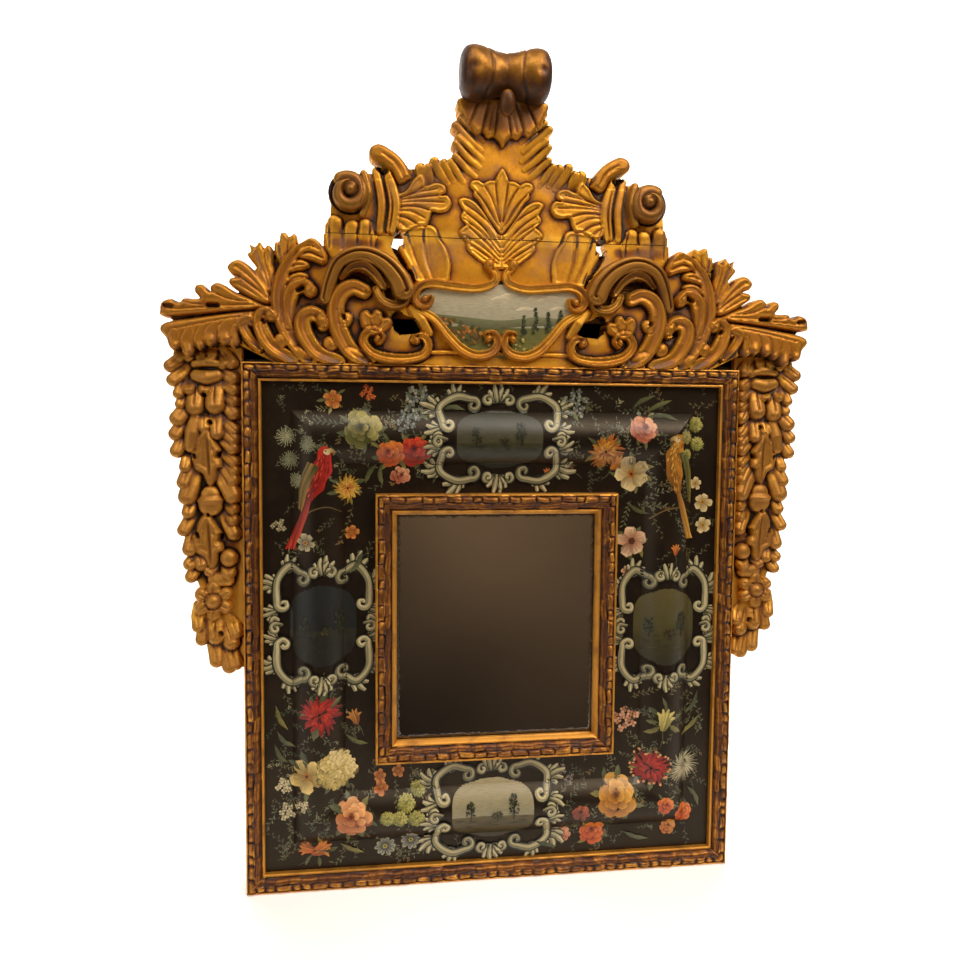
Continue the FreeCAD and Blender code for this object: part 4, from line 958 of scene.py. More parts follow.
petalTurns = range(30, 390, 60)
rosette = {
    "ground": 34, "back": 30, "fine": 0.6, "reach": 6,
    "strokes": [("tip", (6, 11, 11), (8, 12, 13), ray(turn, (6, 13, 20))) for turn in petalTurns]
    + [("cut", (1.5, 1.5, 1.4), (1, 2, 1.5), ray(turn, (10, 18, 25))) for turn in petalTurns]
    + [("plain", (12, 12, 12), (18, 18, 18), [rosetteMiddle, (425.5, 447)])],
}
carvePair("wing_carving_", wingCarving, (380, 500, 330, 846), wingGold, "wing_")
carvePair("rosette_", rosette, (390, 460, 412, 482), wingGold, "wing_rosette_")


# mouldings round the frame
sides = ("top", "bottom", "left", "right")


def barPoint(side, along, inset):
    # along runs 0 at the middle of the side, inset is measured from the frame's outer edge
    if side == "top":
        return along, frameHeight - inset
    if side == "bottom":
        return along, inset
    if side == "left":
        return inset - frameWidth / 2, frameHeight / 2 + along
    return frameWidth / 2 - inset, frameHeight / 2 + along


def frameBar(name, side, job, finish, replaced):
    # a strip wrapped round into a bar, mitred because each line of it is as long as its inset leaves
    half = (frameWidth if side in ("top", "bottom") else frameHeight) / 2
    insets, depths = job["section"]
    ring = len(insets)
    count = int(2 * half / job["step"])
    bpy.ops.object.select_all(action="DESELECT")
    bpy.ops.mesh.primitive_grid_add(x_subdivisions=count, y_subdivisions=ring, size=1)
    piece = bpy.context.object
    piece.name = name
    u = np.tile(np.linspace(-1, 1, count + 1), ring + 1)
    row = np.repeat(np.append(np.arange(ring), 0), count + 1)
    inset, depth = insets[row], depths[row]
    along = u * (half - inset)
    tone = np.zeros(len(u))
    if "nuggets" in job:
        depth, tone = job["nuggets"](side, along, inset, depth)
    x, z = barPoint(side, along, inset)
    writePoints(piece, np.stack([x, -depth, z], 1) * mm)
    bpy.ops.object.mode_set(mode="EDIT")
    bpy.ops.mesh.select_all(action="SELECT")
    bpy.ops.mesh.remove_doubles(threshold=0.00002)
    bpy.ops.mesh.fill_holes(sides=0)
    bpy.ops.mesh.select_all(action="SELECT")
    bpy.ops.mesh.normals_make_consistent(inside=False)
    bpy.ops.object.mode_set(mode="OBJECT")
    if "nuggets" in job:
        markHollows(piece, 16, 0.36, tone[:len(piece.data.vertices)])
    finishPiece(piece, [finish, limewood], replaced, job["angle"])
    bareBack(piece)
    print(name, len(piece.data.polygons), "faces")


lumpCount = 90  # more than the longest side holds
firstCut = -420


def chopped(rows):
    # ripple moulding: rows of rounded, unequal lumps laid along the section
    def shape(side, along, inset, depth):
        tone = np.zeros(len(along))
        for row in rows:
            chance = np.random.default_rng(row["seed"] + 10 * sides.index(side))
            cuts = np.cumsum(chance.uniform(*row["lengths"], lumpCount)) + firstCut
            offset = inset - row["middle"]
            lean = chance.uniform(-0.3, 0.3, lumpCount + 2)[np.searchsorted(cuts, along)]
            slant = along + lean * offset + 0.04 * row["bow"] * offset ** 2
            lump = np.searchsorted(cuts, slant)
            before, after = cuts[np.maximum(lump - 1, 0)], cuts[np.minimum(lump, lumpCount - 1)]
            gap = np.minimum(slant - before, after - slant)
            mood = chance.uniform(-1, 1, lumpCount + 2)[lump]
            other = chance.uniform(-1, 1, lumpCount + 2)[lump]
            sway = 1.0 * other + 0.7 * np.sin(along / 7 + row["seed"])
            v = np.clip(np.abs(offset - sway) / (row["half"] * (1 + 0.16 * mood)), 0, 1)
            end = np.sqrt(1 - (1 - np.clip(np.abs(gap) / row["round"], 0, 1)) ** 2)
            crown = row["rise"] * (1 - v ** 2) ** 0.7
            lift = crown * (1 - row["cut"] + row["cut"] * end) * (0.86 + 0.14 * other)
            lift = lift * (1 - row["dip"] * np.exp(-((offset - sway) / 1.6) ** 2) * end)
            depth = depth + lift
            tone = tone + (lift > 0.4) * (row["dull"] + 0.12 * mood)
        return depth, tone
    return shape


def outerSection():
    insets = np.concatenate([[0, 0, 0, 0.6, 1.6, 2.4, 2.9], np.linspace(3.2, 22.4, 28),
                             [22.8, 23.4, 25, 26.4, 27, 27, 27]])
    hollow = np.interp(insets[7:35], (3.2, 11.6, 12.6, 18, 22.4), (54.5, 55, 55, 53, 49.5))
    depths = np.concatenate([[26, 40, 56, 57.4, 57.8, 57.2, 55.2], hollow,
                             [49.5, 51, 51.6, 51, 50, 46, 26]])
    return insets, depths


def innerSection():
    insets = np.concatenate([[193, 193, 193, 193.8, 195.2, 196.4, 197], np.linspace(197.4, 217.4, 28),
                             [217.8, 218.4, 220.5, 223, 225.2, 225.6, 225.6]])
    hollow = np.interp(insets[7:35], (197.4, 206.6, 207.6, 217.4), (58, 58.5, 58, 53))
    depths = np.concatenate([[42, 52, 59, 60.6, 61, 60.4, 58.6], hollow, [53, 54.4, 55, 52.5, 49, 46, 42]])
    return insets, depths


bed = {"flat": 42.0, "back": 26, "bulge": 20, "bulgeMiddle": 108.5, "bulgeHalf": 39.5}


def swell(v):
    # the half-round between the flat bands, with a soft foot
    return bed["bulge"] * (1 - np.clip(v, -1, 1) ** 2) ** 0.95


def paintedSection():
    across = np.sin(np.linspace(-1, 1, 33) * math.pi / 2)
    insets = np.concatenate([[27, 27, 34, 48, 62, 68.8], bed["bulgeMiddle"] + bed["bulgeHalf"] * across,
                             [148.2, 155, 170, 184, 193, 193]])
    band = np.full(5, bed["flat"])
    depths = np.concatenate([[bed["back"]], band, bed["flat"] + swell(across), band, [bed["back"]]])
    return insets, depths


longLump = {"half": 5.2, "rise": 6.4, "lengths": (13, 26), "round": 7.5,
            "cut": 0.8, "dull": 0.1, "bow": 1, "dip": 0.0}
softLump = {"half": 5.4, "rise": 4.8, "lengths": (12, 34), "round": 9.0,
            "cut": 0.34, "dull": 0.16, "bow": -1, "dip": 0.25}
outerRows = [{**longLump, "seed": 1, "middle": 7.4}, {**softLump, "seed": 2, "middle": 16.4}]
innerRows = [{**longLump, "seed": 3, "middle": 201.8}, {**softLump, "seed": 4, "middle": 211.6}]
outerRipple = {"section": outerSection(), "step": 1.8, "angle": 40, "nuggets": chopped(outerRows)}
innerRipple = {"section": innerSection(), "step": 1.8, "angle": 40, "nuggets": chopped(innerRows)}
paintedBed = {"section": paintedSection(), "step": 6, "angle": 30}
for side in sides:
    frameBar("outer_ripple_" + side, side, outerRipple, ripGold, ["outer_gilt_" + side])
    frameBar("inner_ripple_" + side, side, innerRipple, ripGold, ["inner_gilt_" + side])
    painted = ["painted_moulding_" + side]
    frameBar("painted_bed_" + side, side, paintedBed, blackVarnish, painted)

# painted ornament: every touch of the brush is a thin strip of oil colour lying on the moulding
chance = np.random.default_rng(11)
touches = {side: {"spots": [], "faces": [], "hues": [], "brush": [], "count": 0}
           for side in [*sides, "picture"]}
brush = {"lift": 0.1, "canvas": "frame"}
strokeStep = 2.4
panelFace = 52.1
fullTurn = 6.283
anyTurn = 6.3
squareTurn = 1.57
goldenTurn = 2.4  # between one dab of a round patch and the next
oldVarnish = np.array(colour("#EBD9BC"))[:3]


def bedDepth(spots):
    # depth of the painted bed under a point of the frame
    x, z = spots[:, 0], spots[:, 1]
    inset = np.minimum(frameWidth / 2 - np.abs(x), frameHeight / 2 - np.abs(z - frameHeight / 2))
    return bed["flat"] + swell((inset - bed["bulgeMiddle"]) / bed["bulgeHalf"])


def touch(points, widths, hues, tilt=0.12, uneven=0.12):
    # one touch: half widths at start, middle and end, first and last hue; tilt makes one edge lighter
    line = drawLine(points, strokeStep)
    run = np.gradient(line, axis=0)
    speed = np.maximum(np.hypot(run[:, 0], run[:, 1]), 1e-6)
    across = np.stack([-run[:, 1], run[:, 0]], 1) / speed[:, None]
    length = np.concatenate([[0], np.cumsum(np.hypot(*np.diff(line, axis=0).T))])
    u = length / length[-1]
    start, middle, end = widths
    belly = (start, 0.37 * (start + 2 * middle), 0.37 * (end + 2 * middle), end)
    half = np.interp(u, (0, 0.3, 0.7, 1), belly)
    broad = max(widths) > 1.2
    if broad:
        half = half * (1 + 0.08 * np.sin(u * 17 + chance.uniform(0, 6)))
    v = np.array([-1, -0.5, 0, 0.5, 1.0]) if broad else np.array([-1, 0, 1.0])
    spots = (line[:, None] + across[:, None] * (half[:, None] * v)[..., None]).reshape(-1, 2)
    pair = (hues, hues) if isinstance(hues, str) else hues
    first, last = np.array(colour(pair[0]))[:3], np.array(colour(pair[1]))[:3]
    shade = (first + (last - first) * u[:, None]) * oldVarnish
    shade = shade[:, None] * (1 + tilt * v)[None, :, None] * chance.uniform(1 - uneven, 1 + uneven)
    if brush["canvas"] == "frame":
        depth = bedDepth(spots) + brush["lift"]
        x, z = line.mean(0)
        gaps = {"left": x + frameWidth / 2, "right": frameWidth / 2 - x,
                "bottom": z, "top": frameHeight - z}
        store = touches[min(gaps, key=gaps.get)]
    else:
        depth = np.full(len(spots), panelFace + brush["lift"])
        store = touches["picture"]
    rows, columns = len(line), len(v)
    corner = store["count"] + (np.arange(rows - 1)[:, None] * columns + np.arange(columns - 1)).ravel()
    store["spots"].append(np.stack([spots[:, 0], -depth, spots[:, 1]], 1) * mm)
    store["faces"].append(np.stack([corner, corner + 1, corner + columns + 1, corner + columns], 1))
    store["hues"].append(np.clip(shade.reshape(-1, 3), 0, 1))
    sideways = (half[:, None] * v).ravel() + 7 * chance.uniform(0, 9)
    store["brush"].append(np.stack([np.repeat(length, columns), sideways], 1))
    store["count"] += len(spots)
    brush["lift"] += 0.01


def polar(x, z, reach, angle):
    return x + reach * math.cos(angle), z + reach * math.sin(angle)


def mixed(first, second, amount):
    # a hue between two hues
    parts = [(int(first[i:i + 2], 16), int(second[i:i + 2], 16)) for i in (1, 3, 5)]
    return "#" + "".join("%02X" % round(a + (b - a) * amount) for a, b in parts)


def dab(x, z, r, hue, angle=None):
    turn = chance.uniform(0, 3.1) if angle is None else angle
    ends = [polar(x, z, -r * 0.8, turn), (x, z), polar(x, z, r * 0.8, turn)]
    touch(ends, (0.35 * r, 0.8 * r, 0.35 * r), hue)


def bedding(x, z, r, hue):
    # a patch of small dabs, which follows the moulding better than one large dab
    for k in range(14):
        dab(*polar(x, z, r * math.sqrt(k / 14), goldenTurn * k), r * 0.36, hue)


def leaf(points, half, hues, veins=3):
    touch(points, (0.15, half, 0.1), hues, 0.3)
    line = drawLine(points, strokeStep)
    touch(points, (0.35, 0.3, 0.15), hues[1], 0.0)
    for k in range(1, veins + 1):
        i = int(len(line) * k / (veins + 2))
        ahead = line[min(i + 3, len(line) - 1)] - line[i]
        way = math.atan2(ahead[1], ahead[0])
        for turn in (0.8, -0.8):
            arm = [line[i], polar(*line[i], half * 0.5, way + turn),
                   polar(*line[i], half * 0.85, way + turn * 0.9)]
            touch(arm, (0.22, 0.2, 0.1), hues[1], 0.0)


leafHues = (("#262E1A", "#5E6842"), ("#303A22", "#767C50"), ("#242E1E", "#525E40"), ("#424624", "#8A8848"),
            ("#2C3826", "#6A745A"))


def foliage(x, z, r, count):
    # leaves that show round a bloom
    start = chance.uniform(0, anyTurn)
    for k in range(count):
        angle = start + fullTurn * k / count + chance.uniform(-0.3, 0.3)
        reach = r * chance.uniform(1.25, 1.75)
        bend = angle + chance.uniform(-0.35, 0.35)
        middle = polar(x, z, (reach + r * 0.5) / 2, (angle + bend) / 2)
        hues = leafHues[chance.integers(len(leafHues))]
        points = [polar(x, z, r * 0.5, angle), middle, polar(x, z, reach, bend)]
        leaf(points, r * chance.uniform(0.16, 0.26), hues, 2)


def vine(points, hue="#5A6044", half=0.55):
    touch(points, (half, half, half * 0.4), hue, 0.0)


def sprig(x, z, angle, length, hues, size=3.2, count=5, buds=None):
    # thin curved stalk with small leaves on both sides
    bend = chance.uniform(-0.6, 0.6)
    points = [(x, z), polar(x, z, length * 0.5, angle + bend * 0.4), polar(x, z, length, angle + bend)]
    vine(points, hues[0], 0.4)
    line = drawLine(points, strokeStep)
    for k in range(count):
        i = int((len(line) - 1) * (k + 1) / count)
        turn = angle + bend + (0.8 if k % 2 else -0.8)
        tip = polar(line[i][0], line[i][1], size * chance.uniform(1.3, 2.2), turn)
        middle = ((line[i][0] + tip[0]) / 2 + chance.uniform(-0.6, 0.6), (line[i][1] + tip[1]) / 2)
        touch([line[i], middle, tip], (0.2, size * 0.36, 0.15), hues, 0.25)
    if buds:
        for k in range(3):
            dab(*polar(line[-1][0], line[-1][1], size * 0.5, k * 2.1), size * 0.4, buds)


def openFlower(x, z, r, hues, petals=5, heart="#B98A28", spin=None):
    # round petals about a small heart, none quite like the next
    start = chance.uniform(0, anyTurn) if spin is None else spin
    wide = r * 2.3 / petals
    for k in range(petals):
        a = start + fullTurn * k / petals + chance.uniform(-0.12, 0.12)
        far = r * chance.uniform(0.86, 1.08)
        spread = wide * chance.uniform(0.85, 1.1)
        stem = [polar(x, z, r * 0.15, a), polar(x, z, far * 0.6, a + 0.06), polar(x, z, far, a)]
        touch(stem, (spread * 0.35, spread, spread * 0.55), (hues[0], hues[1]), 0.3)
        rim = [polar(x, z, far * 0.92, a + t * spread / far) for t in (-0.7, 0, 0.6)]
        touch(rim, (0.2, r * 0.07 + 0.2, 0.2), (hues[1], hues[2]), 0.0)
        for lean in (-0.18, 0.14):
            vein = [polar(x, z, r * 0.35, a + lean), polar(x, z, far * 0.65, a + lean * 1.2),
                    polar(x, z, far * 0.9, a + lean)]
            touch(vein, (0.2, r * 0.04 + 0.15, 0.2), (hues[0], hues[2]), 0.0)
    for k in range(6):
        dab(*polar(x, z, r * 0.16, k * 1.05), r * 0.1 + 0.3, heart)
    dab(x, z, r * 0.12, "#4A2E10")


def rose(x, z, r, hues):
    # cupped petals heaped round a dark heart that sits off the middle, light rims
    lean = chance.uniform(0.3, 2.4)
    hx, hz = polar(0, 0, r * 0.2, lean)
    bedding(x, z, r * 0.8, hues[0])
    for ring, (reach, wide, count) in enumerate(((0.78, 0.3, 8), (0.54, 0.27, 7), (0.3, 0.2, 5))):
        cx, cz = x + hx * ring / 2, z + hz * ring / 2
        for k in range(count):
            a = lean + ring * 0.7 + fullTurn * (k + chance.uniform(-0.3, 0.3)) / count
            sweep = chance.uniform(2.6, 4.0) / count
            far = r * reach * chance.uniform(0.84, 1.12)
            thick = r * wide * chance.uniform(0.75, 1.1)
            light = 0.5 + 0.5 * math.cos(a - 0.9)
            body = mixed(hues[0], hues[1], 0.25 + 0.75 * light)
            arc = [polar(cx, cz, far, a + t * sweep) for t in (-1, -0.5, 0, 0.5, 1)]
            touch(arc, (thick * 0.3, thick, thick * 0.35), (body, mixed(body, hues[2], 0.3 * light)), -0.4)
            rim = [polar(cx, cz, far + thick * 0.8, a + t * sweep) for t in (-0.7, 0, 0.6)]
            touch(rim, (0.2, r * 0.05 + 0.2, 0.2), (body, mixed(body, hues[2], 0.4 + 0.6 * light)), 0.0)
            fold = [polar(cx, cz, far - thick * 0.75, a + t * sweep) for t in (-0.6, 0, 0.5)]
            touch(fold, (0.2, r * 0.05 + 0.2, 0.2), (hues[3], hues[0]), 0.0)
    dab(x + hx, z + hz, r * 0.12, hues[3])


def pompon(x, z, r, hues, petals=58):
    # ball of small petals on a darker ground, lighter towards the light
    bedding(x, z, r * 0.9, hues[0])
    for k in range(petals):
        a = goldenTurn * k
        far = 0.86 * r * math.sqrt((petals - k) / petals) * chance.uniform(0.92, 1.06)
        px, pz = polar(x, z, far, a)
        light = (px - x + pz - z) / (1.4 * r) + chance.uniform(-0.45, 0.45)
        hue = hues[2] if light > 0.1 else hues[1] if light > -0.55 else mixed(hues[0], hues[1], 0.4)
        tip = polar(px, pz, r * 0.17, a + chance.uniform(-0.6, 0.6))
        petal = [polar(px, pz, -r * 0.1, a), (px, pz), tip]
        touch(petal, (r * 0.05, r * 0.11, r * 0.07), (hues[1], hue), 0.3)


def carnation(x, z, r, hues, fringe=None):
    # pointed ragged petals in three rings
    for reach, count, hue in ((1.0, 26, hues[0]), (0.82, 22, hues[1]), (0.55, 15, hues[2])):
        for k in range(count):
            a = fullTurn * (k + chance.uniform(-0.4, 0.4)) / count
            tip = reach * r * chance.uniform(0.74, 1.1)
            bent = a + chance.uniform(-0.12, 0.12)
            petal = [polar(x, z, r * 0.08, a), polar(x, z, tip * 0.6, a + 0.08), polar(x, z, tip, bent)]
            touch(petal, (r * 0.04, r * 0.09, r * 0.03), (mixed(hue, hues[3], 0.35), hue), 0.25)
            if fringe and reach == 1.0:
                dab(*polar(x, z, tip, bent), r * 0.09, fringe)
    for k in range(9):
        a = chance.uniform(0, anyTurn)
        fleck = [polar(x, z, r * 0.1, a), polar(x, z, r * 0.3, a), polar(x, z, r * 0.45, a + 0.2)]
        touch(fleck, (0.2, r * 0.04, 0.2), hues[3], 0.0)


def tulip(x, z, r, hues, up=1.6):
    # long petals that open from one foot
    for lean, reach in ((-0.85, 0.8), (0.8, 0.85), (-0.4, 1.0), (0.42, 0.98), (0.0, 1.0)):
        a = up + lean + chance.uniform(-0.1, 0.1)
        middle = polar(x, z, r * reach * 0.55, up + lean * 0.7)
        petal = [polar(x, z, -r * 0.3, up), middle, polar(x, z, r * reach, a)]
        touch(petal, (r * 0.1, r * 0.2, r * 0.04), (hues[0], hues[1]), 0.35)
        touch(petal, (0.2, r * 0.04, 0.2), (hues[1], hues[2]), 0.0)
    vine([polar(x, z, -r * 0.3, up), polar(x, z, -r * 0.8, up + 0.2), polar(x, z, -r * 1.4, up + 0.1)])


def thistle(x, z, r, hues, count=44):
    # fuzzy head of hair-thin rays
    dab(x, z, r * 0.5, mixed(hues[0], "#15120C", 0.6))
    for k in range(count):
        a = fullTurn * (k + chance.uniform(-0.4, 0.4)) / count
        tip = r * chance.uniform(0.6, 1.05)
        hair = [polar(x, z, r * 0.12, a), polar(x, z, tip * 0.6, a + 0.1), polar(x, z, tip, a)]
        touch(hair, (0.25, 0.45 + r * 0.012, 0.2), hues[k % len(hues)], 0.0)
        dab(*polar(x, z, tip, a), 0.9, hues[-1])
    for k in range(8):
        dab(*polar(x, z, r * chance.uniform(0, 0.28), chance.uniform(0, anyTurn)), r * 0.09, hues[-1])


def cluster(x, z, r, hues, count, size):
    # small four-petal blossoms grouped together
    for k in range(count):
        px, pz = polar(x, z, r * math.sqrt((k + 0.4) / count), goldenTurn * k)
        spin = chance.uniform(0, 1.5)
        for t in range(4):
            petal = polar(px, pz, size * 0.55, t * squareTurn + spin)
            dab(*petal, size * chance.uniform(0.4, 0.58), hues[(k + t) % len(hues)])
        dab(px, pz, size * 0.22, "#9A7A30")


def bird(spine, tail, size, hues, wing, wingHues, beak):
    # perching bird from the side: tail, one smooth body from crown to tail, folded wing, face
    for k, lean in enumerate((-0.5, -0.15, 0.2, 0.5)):
        bent = [(px + lean * size * 0.22 * step, pz) for step, (px, pz) in enumerate(tail)]
        touch(bent, (size * 0.14, size * 0.12, size * 0.05), (hues[0], hues[1 + k % 2]), 0.3)
    touch(spine, (size * 0.36, size * 0.62, size * 0.14), (hues[1], hues[0]), 0.35, 0.02)
    hx, hz = spine[0]
    dab(hx, hz, size * 0.46, hues[1])
    line = drawLine(spine, 3)
    for k in range(90):
        i = int(chance.integers(1, len(line) - 3))
        way = math.atan2(*(line[i + 1] - line[i])[::-1])
        off = chance.uniform(-0.8, 0.8)
        girth = size * np.interp(i / len(line), (0, 0.4, 1), (0.34, 0.56, 0.16))
        px, pz = polar(line[i][0], line[i][1], girth * off, way + squareTurn)
        plume = [(px, pz), polar(px, pz, size * 0.12, way + off * 0.2),
                 polar(px, pz, size * 0.24, way + off * 0.3)]
        touch(plume, (0.3, size * 0.05, 0.2), hues[2] if off < 0.1 and k % 2 else hues[k % 2], 0.0)
    for k, off in enumerate((-0.8, -0.4, 0.0, 0.4, 0.8)):
        slip = [(px + off * size * 0.26 * (1 - 0.3 * step), pz - 3 * off)
                for step, (px, pz) in enumerate(wing)]
        touch(slip, (size * 0.14, size * 0.13, size * 0.03), (wingHues[k % 3], wingHues[(k + 1) % 3]), 0.35)
    dab(hx + beak * size * 0.16, hz + size * 0.04, size * 0.24, "#CFC4A2")
    hook = [(hx + beak * size * 0.26, hz + size * 0.14), (hx + beak * size * 0.56, hz + size * 0.04),
            (hx + beak * size * 0.52, hz - size * 0.2)]
    touch(hook, (size * 0.13, size * 0.11, size * 0.03), ("#C9B070", "#4A3A20"), 0.2)
    dab(hx + beak * size * 0.1, hz + size * 0.1, size * 0.06, "#120C08")


stoneHues = ("#14140D", "#666955", "#A0A289", "#D9D8BE")


def stoneBand(points, half):
    # painted carving: dark outline, body, light on the upper side
    touch(points, (half * 0.8, half * 1.3, half * 0.8), stoneHues[0], 0.0, 0.02)
    touch(points, (half * 0.45, half * 0.95, half * 0.5), (stoneHues[1], stoneHues[2]), 0.15, 0.05)
    high = [(px + 0.15 * half, pz + 0.25 * half) for px, pz in points]
    touch(high, (half * 0.12, half * 0.4, half * 0.2), (stoneHues[2], stoneHues[3]), 0.0, 0.05)


def stoneLeaf(x, z, size, angle):
    # five pointed lobes from one root, the middle one in front
    bend = chance.uniform(-0.25, 0.25)
    for turn, reach in ((-1.0, 0.62), (1.0, 0.6), (-0.5, 0.85), (0.52, 0.82), (0.03, 1.0)):
        a = angle + turn
        lobe = [(x, z), polar(x, z, size * reach * 0.55, a), polar(x, z, size * reach, a + bend)]
        stoneBand(lobe, size * 0.15)


def stoneFrame(cx, cz, width, height):
    # a quarter drawn four times: corner scroll with two curled ends, leaves outside, small scrolls between
    a, b = width / 2, height / 2
    for flipX in (1, -1):
        for flipZ in (1, -1):
            def placed(points):
                return [(cx + flipX * px + chance.uniform(-0.6, 0.6),
                         cz + flipZ * pz + chance.uniform(-0.6, 0.6)) for px, pz in points]

            def pointing(degrees):
                way = math.radians(degrees)
                return math.atan2(flipZ * math.sin(way), flipX * math.cos(way))

            for px, pz, size, degrees in ((0.92 * a, 0.66 * b, 29, 25), (0.62 * a, 0.9 * b, 28, 66),
                                          (0.92 * a, 0.24 * b, 24, -20), (0.02 * a, 0.86 * b, 26, 80)):
                stoneLeaf(*placed([(px, pz)])[0], size * chance.uniform(0.9, 1.1), pointing(degrees))
            inward = curl((0.4 * a, 0.78 * b), (11, 2), (75, 440), 12)
            outward = curl((0.78 * a, 0.34 * b), (10, 2), (15, -350), 12)
            stoneBand(placed(inward[::-1] + [(0.66 * a, 0.98 * b), (0.9 * a, 0.74 * b)] + outward), 5.6)
            small = curl((0.16 * a, 0.9 * b), (8, 2), (100, -260), 10)
            stoneBand(placed(small), 3.5)
            lower = curl((0.93 * a, 0.06 * b), (8, 2), (-80, 250), 10)
            stoneBand(placed([(0.8 * a, 0.0)] + lower), 3.5)


def smallView(cx, cz, width, height, hues, trees):
    # little landscape: sky and meadow blended from broad strokes, bushes and trees
    levels = 44
    horizon = 0.42
    broad = height / levels
    for k in range(levels + 1):
        t = 1 - k / levels
        half = width / 2 * max(0.1, 1 - (2 * t - 1) ** 4) ** 0.5
        z = cz - height / 2 + t * height
        sky = mixed(hues[2], hues[3], (t - horizon) / (1 - horizon))
        hue = mixed(hues[0], hues[1], t / horizon) if t < horizon else sky
        wave = chance.uniform(-0.5, 0.5)
        strip = [(cx - half, z), (cx - half * 0.3, z + wave), (cx + half * 0.4, z - wave), (cx + half, z)]
        touch(strip, (broad * 0.6, broad * 1.6, broad * 0.6), hue, 0.0, 0.012)
    for k in range(46):
        x, z = cx + chance.uniform(-0.42, 0.42) * width, cz - height * chance.uniform(0.1, 0.4)
        stroke = [(x - 5, z), (x, z + 0.6), (x + 5, z)]
        touch(stroke, (0.3, 1.0, 0.3), mixed(hues[0], hues[1], chance.uniform(0, 1)), 0.0)
    for tx, tall, wide, dark, light in trees:
        foot = (cx + tx * width / 2, cz - height * 0.14)
        trunk = [foot, (foot[0] + 0.6, foot[1] + tall * 0.5), (foot[0], foot[1] + tall * 0.8)]
        touch(trunk, (0.9, 0.7, 0.3), "#2A2014", 0.1)
        for k in range(int(14 + tall * 1.4)):
            h = chance.uniform(0.25, 1.0)
            spread = wide * (1.05 - 0.75 * abs(h - 0.45))
            x = foot[0] + chance.uniform(-1, 1) * spread
            dab(x, foot[1] + h * tall, chance.uniform(1.0, 2.2), dark if k % 3 else light)


# undergrowth: faint vines and sprigs over the whole border
framePlaces = ((0, 690, 200, 130), (-265, 410, 150, 180), (270, 395, 150, 180), (-5, 110, 195, 140))
dimHues = (("#3E4434", "#5C624E"), ("#4A4E38", "#74765A"), ("#323C2C", "#545E46"), ("#524E34", "#7C7650"),
           ("#4C5244", "#82866E"))
growth = {"count": 380, "insets": (36, 178), "reach": 345, "heights": (36, 764)}
placed = 0
while placed < growth["count"]:
    x, z = chance.uniform(-growth["reach"], growth["reach"]), chance.uniform(*growth["heights"])
    inset = min(frameWidth / 2 - abs(x), frameHeight / 2 - abs(z - frameHeight / 2))
    inFrame = any(abs(x - cx) < w * 0.5 and abs(z - cz) < h * 0.5 for cx, cz, w, h in framePlaces)
    if growth["insets"][0] < inset < growth["insets"][1] and not inFrame:
        brush["lift"] = 0.06 + 0.03 * (placed % 5)
        long = placed % 4 == 0
        sprig(x, z, chance.uniform(0, anyTurn), chance.uniform(34, 60) if long else chance.uniform(12, 26),
              dimHues[placed % 5], chance.uniform(2.0, 4.2), 11 if long else 5,
              ("#8A8C78", "#8A6A40", None, None, "#A8A890", None, None)[placed % 7])
        placed += 1

# stone scrolls round small landscapes
darkTrees = [(-0.55, 30, 7, "#1C2414", "#3C462A"), (0.5, 38, 8, "#182014", "#343F26"),
             (0.1, 14, 9, "#2E2E18", "#4E4828")]
for (cx, cz, w, h), hues in zip(framePlaces, (
        ("#232818", "#3E4024", "#4A4C3C", "#33352C"), ("#14150F", "#26271A", "#15181A", "#1C2226"),
        ("#2C2C16", "#4A4622", "#4A4A2A", "#5E5A36"), ("#3A361C", "#5E5632", "#8E9080", "#B4B29A"))):
    brush["lift"] = 0.12
    smallView(cx, cz, w * 0.66, h * 0.64, hues, darkTrees)
    brush["lift"] = 0.5
    stoneFrame(cx, cz, w, h)

